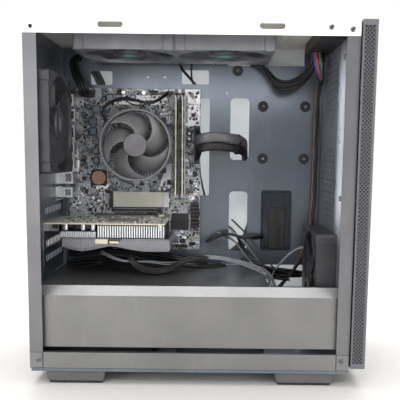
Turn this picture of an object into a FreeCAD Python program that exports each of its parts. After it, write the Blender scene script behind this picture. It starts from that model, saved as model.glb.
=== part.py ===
import FreeCAD, Part
import Sketcher
import math
import os
import re
from FreeCAD import Placement, Rotation, Vector

# A micro-ATX desktop computer tower with its window side open.
# +X runs towards the front panel, -Y is the open window side and +Z is up.
# The origin is at the centre of the case, on the surface that its feet stand on.

SIZES = {
    # the case as a whole
    "case_depth": 400, "case_width": 225, "case_height": 427.5,
    "sheet": 1.2, "side_y": 108, "column_rear_x": -184.3, "column_front_x": 166.3,
    "chassis_front_x": 181.8, "foot_height": 15.8, "floor_top": 17, "lip_top": 19.4,
    "rail_top": 39, "column_top": 409.3, "rail_bottom": 409.6,
    # inner walls
    "wall_x": -197.3, "tray_y": 75, "tray_bottom": 117.6, "roof_z": 422.3, "front_wall_x": 169,
    "return_x": -193.8, "return_y": 92,
    # power supply cover
    "cover_face_y": -100, "cover_low_z": 43.8, "cover_bend_z": 106.8, "cover_top_z": 117.3,
    "cover_bend_y": -90, "cover_end_x": 168.6, "cover_gap_x": 86.5,
    # feet
    "foot_rear_x": -146.2, "foot_front_x": 129.2, "foot_half_top": 36.2, "foot_half_low": 33,
    "foot_outer_y": 105, "foot_inner_y": 86,
    # front panel
    "panel_x": 183, "panel_low_z": 23.8, "panel_skin": 2.5, "mesh_low_z": 30,
    "mesh_high_z": 421, "mesh_rear_x": 184.5, "mesh_front_x": 197.2,
    "stud_radius": 3, "stud_hole_radius": 3.4,
    # side panel
    "side_panel_y": 110.8, "side_panel_low_z": 20, "side_panel_high_z": 426,
    # fans
    "fan_size": 120, "fan_depth": 25, "slim_fan_depth": 15, "fan_bore_radius": 57.5,
    "fan_hub_radius": 20, "fan_screw_pitch": 105, "fan_screw_radius": 2.15, "fan_strut": 2.6,
    "fan_gap": 0.6, "blade_tip_radius": 53.5, "blade_sheet": 1.8,
    "shaft_radius": 1.5, "bearing_radius": 1.56,
    "fan_centre_y": -15, "rear_fan_z": 311, "front_fan_z": 119.5,
    "top_fan_rear_x": -91, "top_fan_front_x": 29,
    # motherboard
    "board_rear_x": -192, "board_front_x": -1.6, "board_low_z": 140.2, "board_high_z": 366.2,
    "board_y": 66.9, "board_sheet": 1.6,
    # processor cooler
    "cooler_x": -86.7, "cooler_z": 287, "cooler_ring_radius": 47.7, "cooler_front_y": 5,
    "cooler_fin_y": 31, "cooler_base_y": 60,
    # memory
    "memory_one_x": -34.6, "memory_two_x": -25.5, "memory_mid_z": 285.8, "memory_length": 133.4,
    "memory_top_y": 35.5,
    # solid-state drive
    "stick_x": -125, "stick_length": 80, "stick_z": 200.4, "stick_width": 22,
    # graphics card
    "card_z": 186.2, "card_sheet": 1.6, "card_rear_x": -195.6, "card_front_x": -43,
    "card_near_y": -45, "card_far_y": 60, "card_cover_low_z": 151.5, "card_cover_top_z": 168.7,
    "card_cover_near_y": -48, "card_cover_far_y": 52, "card_cover_rear_x": -172,
    "card_cover_front_x": -37, "card_fan_x": -104.5, "card_fan_y": 2, "card_fan_radius": 42,
    # power supply
    "supply_length": 140, "supply_half_width": 75, "supply_top_z": 103, "supply_sheet": 1.2,
    "supply_fan_radius": 58, "supply_fan_x": -120,
    # drive cage
    "cage_rear_x": -27, "cage_front_x": 83, "cage_top_z": 101, "cage_near_y": -72,
    # top ports
    "port_rear_x": 138, "port_front_x": 168.7, "port_middle_x": 153.4, "port_near_y": -90, "port_far_y": 30,
    "port_low_z": 408.5,
}

doc = FreeCAD.newDocument("tower")
dims = doc.addObject("Spreadsheet::Sheet", "dims")
for row, (alias, value) in enumerate(SIZES.items(), start=1):
    dims.set(f"A{row}", alias)
    dims.set(f"B{row}", str(value))
    dims.setAlias(f"B{row}", alias)
doc.recompute()

PARTS = []
UP = Vector(0, 0, 1)
TURN = {
    "X": Rotation(Vector(0, 1, 0), Vector(0, 0, 1), Vector(1, 0, 0), "XYZ"),
    "-X": Rotation(Vector(0, -1, 0), Vector(0, 0, 1), Vector(-1, 0, 0), "XYZ"),
    "Y": Rotation(Vector(0, 0, 1), Vector(1, 0, 0), Vector(0, 1, 0), "XYZ"),
    "-Y": Rotation(Vector(1, 0, 0), Vector(0, 0, 1), Vector(0, -1, 0), "XYZ"),
    "Z": Rotation(),
    "-Z": Rotation(Vector(1, 0, 0), Vector(0, -1, 0), Vector(0, 0, -1), "XYZ"),
}


# ---------------------------------------------------------------- small tools

def bound(text):
    """The sheet expression for a number or a formula of sheet names."""
    return re.sub(r"[a-z][a-z_]+", lambda word: "dims." + word.group(0)
                  if word.group(0) in SIZES else word.group(0), f"({text})")


def size(alias):
    """A driving dimension, read from the sheet."""
    return float(dims.get(alias))


def slab(across, deep, tall):
    """A box between two values on each axis, given as numbers or formulas."""
    box = doc.addObject("Part::Box", "Slab")
    sides = (("Length", "x", across), ("Width", "y", deep), ("Height", "z", tall))
    for prop, axis, (low, high) in sides:
        box.setExpression(prop, f"{bound(high)} - {bound(low)}")
        box.setExpression(f"Placement.Base.{axis}", bound(low))
    return box


def rod(start, radius, length, axis="Z"):
    """A cylinder that starts at a point and runs along an axis."""
    cylinder = doc.addObject("Part::Cylinder", "Rod")
    cylinder.Placement.Rotation = TURN[axis]
    cylinder.setExpression("Radius", bound(radius))
    cylinder.setExpression("Height", bound(length))
    for name, value in zip("xyz", start):
        cylinder.setExpression(f"Placement.Base.{name}", bound(value))
    return cylinder


def group(members):
    """Several separate solids held as one object."""
    compound = doc.addObject("Part::Compound", "Group")
    compound.Links = members
    return compound


def fuse(members):
    fusion = doc.addObject("Part::MultiFuse", "Fusion")
    fusion.Shapes = members
    return fusion


def cut(base, tools):
    """A base less its tools; the tools keep clear of each other."""
    difference = doc.addObject("Part::Cut", "Cut")
    difference.Base = base
    difference.Tool = tools[0] if len(tools) == 1 else group(tools)
    return difference


def mirrored(source):
    """The same piece on the other side of the case's middle plane."""
    mirror = doc.addObject("Part::Mirroring", "Mirror")
    mirror.Source = source
    mirror.Base = Vector(0, 0, 0)
    mirror.Normal = Vector(0, 1, 0)
    return mirror


def rectangle(left, low, right, high, radius=0.0):
    """A flat outline with straight sides and, where asked, round corners."""
    if radius == 0:
        corners = [Vector(left, low, 0), Vector(right, low, 0), Vector(right, high, 0),
                   Vector(left, high, 0), Vector(left, low, 0)]
        return Part.makePolygon(corners)
    edges = []
    centres = ((right - radius, low + radius, 270), (right - radius, high - radius, 0),
               (left + radius, high - radius, 90), (left + radius, low + radius, 180))
    arcs = [Part.makeCircle(radius, Vector(x, y, 0), UP, start, start + 90)
            for x, y, start in centres]
    for arc, following in zip(arcs, arcs[1:] + arcs[:1]):
        edges.append(arc)
        gap = following.firstVertex().Point - arc.lastVertex().Point
        if gap.Length > 1e-6:
            edges.append(Part.makeLine(arc.lastVertex().Point, following.firstVertex().Point))
    return Part.Wire(edges)


def disc(x, y, radius):
    return Part.Wire([Part.makeCircle(radius, Vector(x, y, 0))])


def hole_field(left, low, right, high, pitch, radius):
    """Rows of round holes, every second row shifted by half a pitch."""
    holes = []
    columns = int((right - left) / pitch)
    rows = int((high - low) / (pitch * 0.87))
    for row in range(rows):
        for column in range(columns - row % 2):
            x = left + pitch * (column + 0.5 + 0.5 * (row % 2))
            holes.append(disc(x, low + pitch * 0.87 * (row + 0.5), radius))
    return holes


def round_field(x, y, outer, pitch, radius, inner=0.0):
    """The holes of a square field that lie inside a circle."""
    kept = []
    for hole in hole_field(x - outer, y - outer, x + outer, y + outer, pitch, radius):
        away = hole.BoundBox.Center.sub(Vector(x, y, 0)).Length
        if inner + radius < away < outer - radius:
            kept.append(hole)
    return kept


def punched(outline, holes, thickness, start, axis):
    """A flat sheet with holes, pushed out from a point along an axis."""
    face = Part.makeFace([outline] + holes, "Part::FaceMakerBullseye")
    sheet = doc.addObject("Part::Feature", "Sheet")
    sheet.Shape = face.extrude(UP * thickness)
    sheet.Placement = Placement(Vector(*start), TURN[axis])
    return sheet


def plate_bent(points, across, plane="YZ_Plane"):
    """A sketched outline padded between two values across its plane.

    Each corner of the outline is held by the sheet through its own constraints.
    """
    body = doc.addObject("PartDesign::Body", "Bent")
    sketch = body.newObject("Sketcher::SketchObject", "Outline")
    plane_object = [f for f in body.Origin.OriginFeatures if f.Role == plane][0]
    sketch.AttachmentSupport = [(plane_object, "")]
    sketch.MapMode = "FlatFace"
    here = [[FreeCAD.Units.Quantity(str(dims.evalExpression(bound(v)))).Value for v in point]
            for point in points]
    count = len(points)
    for index in range(count):
        start, end = here[index], here[(index + 1) % count]
        sketch.addGeometry(Part.LineSegment(Vector(*start, 0), Vector(*end, 0)))
    for index in range(count):
        joined = (index + 1) % count
        sketch.addConstraint(Sketcher.Constraint("Coincident", index, 2, joined, 1))
    for index, point in enumerate(points):
        for kind, value, now in zip(("DistanceX", "DistanceY"), point, here[index]):
            held = sketch.addConstraint(Sketcher.Constraint(kind, -1, 1, index, 1, now))
            sketch.setExpression(f"Constraints[{held}]", bound(value))
    low, high = across
    pad = body.newObject("PartDesign::Pad", "Pad")
    pad.Profile = sketch
    pad.setExpression("Length", f"{bound(high)} - {bound(low)}")
    side = {"YZ_Plane": "x", "XZ_Plane": "y", "XY_Plane": "z"}[plane]
    if plane == "XZ_Plane":
        body.setExpression(f"Placement.Base.{side}", bound(high))
    else:
        body.setExpression(f"Placement.Base.{side}", bound(low))
    return body


def tube(points, radius, name):
    """A round lead along straight runs joined by tangent arcs."""
    points = [Vector(*point) for point in points]
    runs = [b.sub(a) for a, b in zip(points, points[1:])]
    edges, here, radii = [], points[0], []
    for index in range(1, len(points) - 1):
        before, after = runs[index - 1], runs[index]
        turn = before.getAngle(after)
        reach = 0.45 * min(before.Length, after.Length)
        radii.append(reach / math.tan(turn / 2))
        inward = Vector(before).normalize() * -reach + points[index]
        outward = Vector(after).normalize() * reach + points[index]
        bisector = (inward + outward) * 0.5 - points[index]
        to_centre = radii[-1] / math.cos(turn / 2)
        middle = points[index] + Vector(bisector).normalize() * (to_centre - radii[-1])
        edges.append(Part.LineSegment(here, inward).toShape())
        edges.append(Part.Arc(inward, middle, outward).toShape())
        here = outward
    edges.append(Part.LineSegment(here, points[-1]).toShape())
    path = Part.Wire(edges)
    circle = Part.makeCircle(radius, points[0], runs[0])
    solid = path.makePipeShell([Part.Wire([circle])], True, False)
    expected = math.pi * radius ** 2 * path.Length
    if abs(solid.Volume / expected - 1) > 0.01:
        raise ValueError(f"{name}: volume {solid.Volume:.0f} is not {expected:.0f}")
    print(f"{name}: {path.Length:.0f} mm long, smallest radius {min(radii):.0f} mm")
    lead = doc.addObject("Part::Feature", "Lead")
    lead.Shape = solid
    return lead


def named(label, piece):
    """Takes a finished piece as a sub-part under its label."""
    piece.Label = label
    PARTS.append(piece)
    return piece


# -------------------------------------------------------------------- chassis

SLOT_Z = (201.8, 181.5, 161.2, 140.8)
FAN_SCREWS = [(i * 52.5, j * 52.5) for i in (-1, 1) for j in (-1, 1)]


def rear_wall():
    fan_y, fan_z = -42, size("rear_fan_z")
    holes = round_field(fan_y, fan_z, 58, 9, 3.2)
    holes += [disc(fan_y + y, fan_z + z, 2.15) for y, z in FAN_SCREWS]
    holes += [rectangle(24.5, 211, 69, 361), rectangle(-63, 25, 63, 95, 4)]
    holes += [rectangle(-42, z - 6.3, 60, z + 6.3) for z in SLOT_Z]
    outline = rectangle(-106.8, 17, size("return_y"), 422.3)
    wall = punched(outline, holes, size("sheet"), (-198.5, 0, 0), "X")
    step = slab((-198.5, "return_x"), ("return_y - sheet", "return_y"), (17, 422.3))
    flange_holes = [disc(101.5, z, 1.9) for z in (70, 380)]
    flange = punched(rectangle(90.8, 17, 106.8, 422.3), flange_holes, size("sheet"),
                     (-195, 0, 0), "X")
    named("rear_wall", fuse([wall, step, flange]))


def motherboard_tray():
    holes = [rectangle(-156.3, 371.4, -126.4, 390.3, 3), rectangle(-28.5, 373.5, 9.6, 393, 3),
             rectangle(-12, 217.4, 11.1, 354.4, 3), rectangle(40.5, 268.6, 67.2, 355, 6),
             rectangle(40.2, 137.5, 66.6, 223.6, 6), rectangle(-130, 240, -50, 332, 8)]
    holes += [disc(x, z, 1.8) for x, z in ((-76.4, 382.6), (-52.6, 382.8), (35.2, 362))]
    outline = rectangle(-193.6, size("tray_bottom"), 168.8, 422)
    sheet = size("sheet")
    named("motherboard_tray", punched(outline, holes, sheet, (0, size("tray_y") + sheet, 0), "-Y"))


def bottom_plate():
    holes = round_field(size("supply_fan_x"), 0, 60, 9, 3.2)
    for x, y in ((96, 20), (112, 5), (128, -10), (112, 45), (128, 30)):
        along = Part.makePolygon([Vector(x + a, y + b, 0) for a, b in
                                  ((-2, -16), (6, -16), (14, 12), (6, 12), (-2, -16))])
        holes.append(along)
    pan = punched(rectangle(-198.5, -108, 181.8, 108), holes, size("sheet"),
                  (0, 0, size("foot_height")), "Z")
    lip = slab((-198.5, "chassis_front_x"), (-108, -106.8), ("foot_height", "lip_top"))
    rail = slab((-190, -38), (-70.2, -69), (11.6, "foot_height"))
    ledge = slab((-190, -38), (-70.2, -65), (11.6, 12.8))
    sides = [lip, rail, ledge]
    named("bottom_plate", fuse([pan] + sides + [mirrored(side) for side in sides]))


def top_plate():
    fan_y = size("fan_centre_y")
    holes = [rectangle(137.7, -90.3, 169, 30.3)]
    for x in (size("top_fan_rear_x"), size("top_fan_front_x")):
        holes += round_field(x, fan_y, 58, 9, 3.2)
        holes += [disc(x + a, fan_y + b, 2.15) for a, b in FAN_SCREWS]
    holes += [rectangle(103, y, 107, y + 2) for y in range(-40, 30, 8)]
    named("top_plate", punched(rectangle(-198.5, -106.8, 181.8, 106.8), holes, size("sheet"),
                               (0, 0, size("roof_z")), "Z"))


def front_wall():
    fan_y = size("fan_centre_y")
    holes = [disc(y, z, size("stud_hole_radius")) for y in (-88, 88) for z in (60, 225, 390)]
    for z in (119.5, 239.5, 359.5):
        holes += round_field(fan_y + 10, z, 48, 9, 3.2)
        holes += [disc(fan_y + a, z + b, 2.15) for a, b in FAN_SCREWS]
    named("front_wall", punched(rectangle(-106.8, 17, 106.8, 422), holes, size("sheet"),
                                (size("front_wall_x"), 0, 0), "X"))


def corner_columns():
    tall = ("lip_top + 0.3", "column_top")
    rear = fuse([slab((-200, "column_rear_x"), (-108, -106.8), tall),
                 slab((-197.1, -195.9), (-106.8, -104), tall)])
    far_rear = slab((-193.6, "column_rear_x"), (106.8, 108), tall)
    front = fuse([slab(("column_front_x", "chassis_front_x"), (-108, -106.8), tall),
                  slab((170.4, 171.6), (-106.8, -94), tall)])
    named("corner_columns", group([rear, front, far_rear, mirrored(front)]))


def bottom_rails():
    ends = ("column_rear_x + 0.3", "column_front_x - 0.3")
    face = slab(ends, (-107.8, -106.6), ("lip_top + 0.3", "rail_top"))
    ledge = slab(ends, (-106.6, -101.5), (37.8, "rail_top"))
    rail = fuse([face, ledge])
    named("bottom_rails", group([rail, mirrored(rail)]))


def stadium(left, right, z, radius):
    """A long round-ended hole tool through the side of the case."""
    reach = (-109, 3.4)
    ends = [rod((x, reach[0], z), radius, reach[1], "Y") for x in (left + radius, right - radius)]
    middle = slab((left + radius, right - radius), (reach[0], reach[0] + reach[1]),
                  (z - radius, z + radius))
    return fuse(ends + [middle])


def top_rails():
    face = slab((-200, "chassis_front_x"), (-108, -106.8), ("rail_bottom", "case_height"))
    flange = slab((-200, "chassis_front_x"), (-106.8, -94), ("case_height - sheet", "case_height"))
    tools = [stadium(-115.2, -86.5, 419.6, 3.6), stadium(67.4, 96.5, 419.6, 3.6),
             rod((-190.5, -109, 416.7), 2.4, 4, "Y")]
    near = cut(fuse([face, flange]), tools)
    far_face = slab((-193.6, "chassis_front_x"), (106.8, 108), ("rail_bottom", "case_height"))
    far_flange = slab((-193.6, "chassis_front_x"), (94, 106.8),
                      ("case_height - sheet", "case_height"))
    named("top_rails", group([near, fuse([far_face, far_flange])]))


def psu_shroud():
    y, low, bend, top, skin = ("cover_face_y", "cover_low_z", "cover_bend_z", "cover_top_z", "sheet")
    outline = [(y, low), (y, bend), ("cover_bend_y", top), (74.9, top), (74.9, f"{top} - {skin}"),
               ("cover_bend_y + 0.5", f"{top} - {skin}"), (f"{y} + {skin}", f"{bend} - 0.5"),
               (f"{y} + {skin}", low)]
    bent = plate_bent(outline, (-192, "cover_end_x"))
    gap = slab(("cover_gap_x", 170), (-84, 76), (110, 120))
    rear = slab((-195.8, -192), (-84, 74.9), (f"{top} - {skin}", top))
    named("psu_shroud", fuse([cut(bent, [gap]), rear]))


def feet():
    pads = []
    for middle in ("foot_rear_x", "foot_front_x"):
        outline = [(f"{middle} - foot_half_low", 0), (f"{middle} + foot_half_low", 0),
                   (f"{middle} + foot_half_top", "foot_height"),
                   (f"{middle} - foot_half_top", "foot_height")]
        near = plate_bent(outline, ("-foot_outer_y", "-foot_inner_y"), "XZ_Plane")
        pads += [near, mirrored(near)]
    named("feet", group(pads))


def slot_covers():
    covers = []
    for z in (SLOT_Z[0], SLOT_Z[3]):
        slits = [rectangle(y, z - 4, y + 3, z + 4) for y in range(-34, 54, 8)]
        covers.append(punched(rectangle(-46, z - 9, 66, z + 9), slits, 0.8, (-197.2, 0, 0), "X"))
    named("slot_covers", group(covers))


def tray_grommets():
    spots = ((49.9, 392.8), (86.4, 343.9), (146.1, 344.2), (87, 271), (145.9, 271.2))
    rings = [cut(rod((x, 72.6, z), 7.3, 2.4, "Y"), [rod((x, 72, z), 3, 1.8, "Y")])
             for x, z in spots]
    named("tray_grommets", group(rings))


def ssd_bracket():
    base = slab((86.2, 129.6), (72.4, 74.9), (139.3, 225.6))
    raised = slab((97.7, 120), (69.4, 72.4), (140.3, 201))
    window = slab((108, 111), (68, 75.5), (176, 194))
    named("ssd_bracket", cut(fuse([base, raised]), [window]))


def drive_cage():
    deep = ("cage_near_y", 74)
    walls = [slab((low, f"{low} + 1"), deep, ("floor_top", "cage_top_z"))
             for low in ("cage_rear_x", "cage_front_x - 1")]
    lids = [slab(("cage_rear_x", "cage_front_x"), deep, (z, f"{z} + 1")) for z in (58.5, 100)]
    named("drive_cage", fuse(walls + lids))


def screw(point, axis, head=3.0, tall=1.8, shank=4.0):
    """A pan-head screw whose head stands out along an axis from a point."""
    back = {"X": (-1, 0, 0), "-X": (1, 0, 0), "-Y": (0, 1, 0), "Z": (0, 0, -1)}[axis]
    foot = [p + b * shank for p, b in zip(point, back)]
    return fuse([rod(point, head, tall, axis), rod(foot, 1.4, shank + 0.5, axis)])


BOARD_SCREWS = [(-185, 361.5), (-14, 358), (-170, 226), (-14, 226), (-184, 147), (-14, 147)]


def screws():
    members = [screw((x, -108, z), "-Y") for x, z in
               ((-189.6, 30.4), (172.6, 31.8), (148.3, 419), (172.3, 417))]
    members += [screw((x, size("board_y"), z), "-Y", 3.2, 2.2) for x, z in BOARD_SCREWS]
    members += [screw((-198.5, -42 + y, 311 + z), "-X", 3, 1.4) for y, z in FAN_SCREWS]
    members += [screw((-198.5, y, z), "-X", 3, 1.4, 3) for y, z in
                ((-69, 23), (-69, 97), (69, 23), (69, 87))]
    for x in (size("top_fan_rear_x"), size("top_fan_front_x")):
        members += [screw((x + a, -15 + b, 423.5), "Z", 3, 1.3) for a, b in FAN_SCREWS]
    members += [screw((170.2, -15 + y, 119.5 + z), "X", 3, 1.4) for y, z in FAN_SCREWS]
    named("screws", group(members))


def standoffs():
    members = [rod((x, 68.5, z), 2.9, 6.5, "Y") for x, z in BOARD_SCREWS]
    named("standoffs", group(members))


# --------------------------------------------------------------- outer panels

STUDS = [(y, z) for y in (-88, 88) for z in (60, 225, 390)]


def front_panel():
    skin = "panel_skin"
    block = slab(("panel_x", "case_depth / 2"), ("-case_width / 2", "case_width / 2"),
                 ("panel_low_z", "case_height"))
    hollow = slab(("panel_x - 1", f"case_depth / 2 - {skin}"),
                  (f"{skin} - case_width / 2", f"case_width / 2 - {skin}"),
                  (f"panel_low_z + {skin}", f"case_height - {skin}"))
    windows = slab(("mesh_rear_x", "mesh_front_x"), (-113, 113), ("mesh_low_z", "mesh_high_z"))
    studs = [rod((166, y, z), "stud_radius", 32, "X") for y, z in STUDS]
    shell = cut(block, [fuse([hollow, windows])])
    named("front_panel", fuse([shell] + studs))


def front_panel_mesh():
    left, right = size("mesh_rear_x") + 0.1, size("mesh_front_x") - 0.1
    low, high = size("mesh_low_z") + 0.1, size("mesh_high_z") - 0.1
    holes = hole_field(left + 0.6, low + 2, right - 0.6, high - 2, 5.4, 1.8)
    near = punched(rectangle(left, low, right, high), holes, 0.8, (0, -111.1, 0), "-Y")
    named("front_panel_mesh", group([near, mirrored(near)]))


def right_side_panel():
    across, tall = (-195.2, 181.6), ("side_panel_low_z", "side_panel_high_z")
    face = slab(across, ("side_panel_y", "side_panel_y + sheet"), tall)
    folds = [slab(across, (108.4, "side_panel_y"), (low, f"{low} + sheet"))
             for low in ("side_panel_low_z", "side_panel_high_z - sheet")]
    tab = slab((-196.4, -195.2), (96, "side_panel_y + sheet"), (42, 404))
    holes = [rod((-197, 101.5, z), 1.7, 3, "X") for z in (70, 380)]
    named("right_side_panel", fuse([face, cut(tab, holes)] + folds))


def thumbscrews():
    members = [fuse([rod((-200, 101.5, z), 5.4, 3.6, "X"), rod((-197, 101.5, z), 1.5, 7, "X")])
               for z in (70, 380)]
    named("thumbscrews", group(members))


def top_dust_filter():
    border = cut(slab((-188, 128), (-88, 88), (423.7, 427.3)),
                 [slab((-180, 120), (-80, 80), (423, 428))])
    holes = [rectangle(x, y, x + 17, y + 17) for x in range(-179, 110, 20)
             for y in range(-79, 70, 20)]
    net = punched(rectangle(-181, -81, 121, 81), holes, 0.6, (0, 0, 425.9), "Z")
    named("top_dust_filter", fuse([border, net]))


def psu_dust_filter():
    holes = [rectangle(x, y, x + 17, y + 17) for x in range(-182, -70, 20)
             for y in range(-59, 50, 20)]
    net = punched(rectangle(-186, -68, -48, 68), holes, 1.8, (0, 0, 13.3), "Z")
    handle = slab((-196, -186), (-15, 15), (13.3, 15.1))
    named("psu_dust_filter", fuse([net, handle]))


def front_io_ports():
    block = slab(("port_rear_x", "port_front_x"), ("port_near_y", "port_far_y"),
                 ("port_low_z", "case_height"))
    middle = "port_middle_x"
    tools = [rod((middle, -72, 417.5), 8.3, 11)]
    tools += [slab((f"{middle} - 6.5", f"{middle} + 6.5"), (y - 2.8, y + 2.8), (413.5, 428))
              for y in (-46, -30)]
    tools += [rod((middle, y, 413.5), 1.8, 15) for y in (-10, 6)]
    named("front_io_ports", cut(block, tools))


def power_button():
    named("power_button", rod(("port_middle_x", -72, 419.3), 8, 8))


# ----------------------------------------------------------------------- fans

def fan_frame(label, depth, centre, axis):
    """A square fan housing with a round bore, a bearing and four struts.

    It is made about its own axis, with the air coming in at zero.
    """
    half = "fan_size / 2"
    block = slab((f"-{half}", half), (f"-{half}", half), (0, depth))
    tools = [rod((0, 0, -1), "fan_bore_radius", f"{depth} + 2")]
    tools += [rod((x, y, -1), "fan_screw_radius", f"{depth} + 2") for x, y in FAN_SCREWS]
    bearing = cut(rod((0, 0, f"{depth} - fan_strut - 1.4"), 19, "fan_strut + 1.4"),
                  [rod((0, 0, f"{depth} - 6"), "bearing_radius", 4.4)])
    struts = []
    for angle in (20, 110, 200, 290):
        strut = slab((17, 58), (-2, 2), (f"{depth} - fan_strut", depth))
        turn = Rotation(UP, angle)
        strut.setExpression("Placement.Base.x", None)
        strut.setExpression("Placement.Base.y", None)
        strut.Placement = Placement(turn.multVec(Vector(17, -2, 0)), turn)
        strut.setExpression("Placement.Base.z", bound(f"{depth} - fan_strut"))
        struts.append(strut)
    frame = fuse([cut(block, tools), bearing] + struts)
    frame.Placement = Placement(Vector(*centre), TURN[axis])
    named(label, frame)


def rotor(label, sizes, centre, axis, blades, pitch_angle):
    """A fan wheel: a hub with its shaft, and flat blades set at an angle.

    sizes holds the wheel's depth, hub radius, tip radius and blade width.
    """
    deep, hub_radius, tip_radius, chord = sizes
    hub = rod((0, 0, 1.2), hub_radius, deep)
    shaft = rod((0, 0, 1.2), "shaft_radius", f"{deep} + 3.2")
    members = [hub, shaft]
    for index in range(blades):
        blade = slab((0, f"{tip_radius} - {hub_radius} + 1"), (0, chord), (0, "blade_sheet"))
        for name in "xyz":
            blade.setExpression(f"Placement.Base.{name}", None)
        turn = Rotation(UP, 360 / blades * index) * Rotation(Vector(1, 0, 0), pitch_angle)
        start = Vector(hub_radius - 1, -chord / 2, -size("blade_sheet") / 2)
        lift = Vector(0, 0, 1.2 + deep / 2)
        blade.Placement = Placement(turn.multVec(start) + lift, turn)
        members.append(blade)
    wheel = fuse(members)
    wheel.Placement = Placement(Vector(*centre), TURN[axis])
    named(label, wheel)


def case_fans():
    middle = size("fan_centre_y")
    fans = (("rear_fan", (-172.3, -42, size("rear_fan_z")), "-X"),
            ("top_rear_fan", (size("top_fan_rear_x"), middle, 397.2), "Z"),
            ("top_front_fan", (size("top_fan_front_x"), middle, 397.2), "Z"),
            ("front_fan", (168.9, middle, size("front_fan_z")), "-X"))
    for label, centre, axis in fans:
        fan_frame(f"{label}_frame", "fan_depth", centre, axis)
        rotor(f"{label}_rotor", (18.6, 20, 53.5, 26), centre, axis, 7, 38)


# ---------------------------------------------------------------- motherboard

def motherboard_pcb():
    holes = [disc(x, z, 2) for x, z in BOARD_SCREWS]
    outline = rectangle(size("board_rear_x"), size("board_low_z"), size("board_front_x"),
                        size("board_high_z"), 1.5)
    named("motherboard_pcb", punched(outline, holes, size("board_sheet"),
                                     (0, size("board_y") + size("board_sheet"), 0), "-Y"))


# Each rear socket block: its middle height, width, reach from the board, and its
# sockets as (distance from the board, width, opening, round or square).
USB_PAIR = [(5.2, 12.8, 5.6, False), (13.4, 12.8, 5.6, False)]
PORT_BLOCKS = (
    (348, 15.4, 17.6, USB_PAIR),
    (328, 16.4, 8, [(4.2, 14.2, 5, False)]),
    (304, 20, 12, [(6, 16, 8, False)]),
    (282, 15.4, 17.6, USB_PAIR),
    (262, 15.4, 17.6, USB_PAIR),
    (242, 16.4, 30.5, USB_PAIR + [(23.5, 12, 9, False)]),
    (222, 13, 34, [(6, 3.6, 3.6, True), (17, 3.6, 3.6, True), (28, 3.6, 3.6, True)]),
)


def io_shield():
    board = size("board_y")
    holes = [rectangle(board - reach - 0.4, z - wide / 2 - 0.4, board - 0.2, z + wide / 2 + 0.4)
             for z, wide, reach, sockets in PORT_BLOCKS]
    named("io_shield", punched(rectangle(24.8, 211.3, 68.7, 360.7), holes, 0.5,
                               (-198.3, 0, 0), "X"))


def io_ports():
    blocks = []
    for z, wide, reach, sockets in PORT_BLOCKS:
        block = slab((-199.3, -176), (f"board_y - {reach}", "board_y - 0.4"),
                     (z - wide / 2, z + wide / 2))
        tools = []
        for away, across, opening, is_round in sockets:
            if is_round:
                tools.append(rod((-200, f"board_y - {away}", z), across / 2, 15, "X"))
            else:
                tools.append(slab((-200, -186), (f"board_y - {away} - {opening / 2}",
                                                 f"board_y - {away} + {opening / 2}"),
                                  (z - across / 2, z + across / 2)))
        blocks.append(cut(block, tools))
    named("io_ports", group(blocks))


def board_sockets():
    surface = "board_y"
    power = slab((-10.6, -2.6), (55, surface), (263.2, 314.8))
    processor_power = slab((-168, -149), (55, surface), (353, 362))
    drive_plugs = slab((-12.4, -2.6), (56, surface), (176, 204))
    fan_plugs = [slab((x, x + 10), (59, surface), (z, z + 5)) for x, z in
                 ((-72, 358), (-118, 358))]
    front_pins = [slab((x, x + 18), (59, surface), (142.4, 147.4)) for x in (-57, -37)]
    named("board_sockets", group([power, processor_power, drive_plugs] + fan_plugs + front_pins))


def board_components():
    surface = "board_y"
    members = [slab((-106.7, -66.7), ("cooler_base_y + 0.2", surface), (267, 307))]
    for z in (250, 266, 282, 298, 314):
        members.append(slab((-163, -153), (59.5, surface), (z, z + 10)))
    for x in (-146, -131, -116, -101):
        members.append(slab((x, x + 10), (59.5, surface), (341, 351)))
    for x, z in ((-171, 350), (-171, 340), (-52, 345), (-52, 335), (-48, 228), (-20, 158)):
        members.append(rod((x, 59, z), 3.1, "board_y - 59", "Y"))
    chipset = slab((-42, -18), (58, surface), (168, 192))
    cell = rod((-103, 63.4, 231), 10, "board_y - 63.4", "Y")
    named("board_components", group(members + [chipset, cell]))


def memory():
    mid, half = "memory_mid_z", "memory_length / 2"
    sockets, sticks = [], []
    for number, x in enumerate(("memory_one_x", "memory_two_x"), start=1):
        body = slab((f"{x} - 3", f"{x} + 3"), (58, "board_y"),
                    (f"{mid} - 71", f"{mid} + 71"))
        groove = slab((f"{x} - 0.75", f"{x} + 0.75"), (57, 63.5),
                      (f"{mid} - {half} - 0.3", f"{mid} + {half} + 0.3"))
        sockets.append(cut(body, [groove]))
        sticks.append(slab((f"{x} - 0.65", f"{x} + 0.65"), ("memory_top_y", 63.2),
                           (f"{mid} - {half}", f"{mid} + {half}")))
        lever = slab((f"{x} - 2.5", f"{x} + 2.5"), (47, 65.5), (f"{mid} + 71.4", f"{mid} + 75"))
        thumb = slab((f"{x} - 2.5", f"{x} + 2.5"), (47, 50), (f"{mid} + 75", f"{mid} + 78"))
        named(f"memory_latch_{number}", fuse([lever, thumb]))
    named("memory_slots", group(sockets))
    named("memory_modules", group(sticks))


def pcie_slots():
    members = []
    for z, right in ((187, -61), (166.7, -125), (146.4, -61)):
        body = slab((-150, right), (55.6, "board_y"), (z - 3.7, z + 3.7))
        groove = slab((-148.5, f"{right} - 1.5"), (55, 63), (z - 1, z + 1))
        members.append(cut(body, [groove]))
    named("pcie_slots", group(members))


def pcie_latch():
    hook = slab((-60.4, -52), (58.5, 61.5), (183.6, 190.4))
    post = slab((-60.4, -57), (61.5, 66), (183.6, 190.4))
    named("pcie_latch", fuse([hook, post]))


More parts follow.
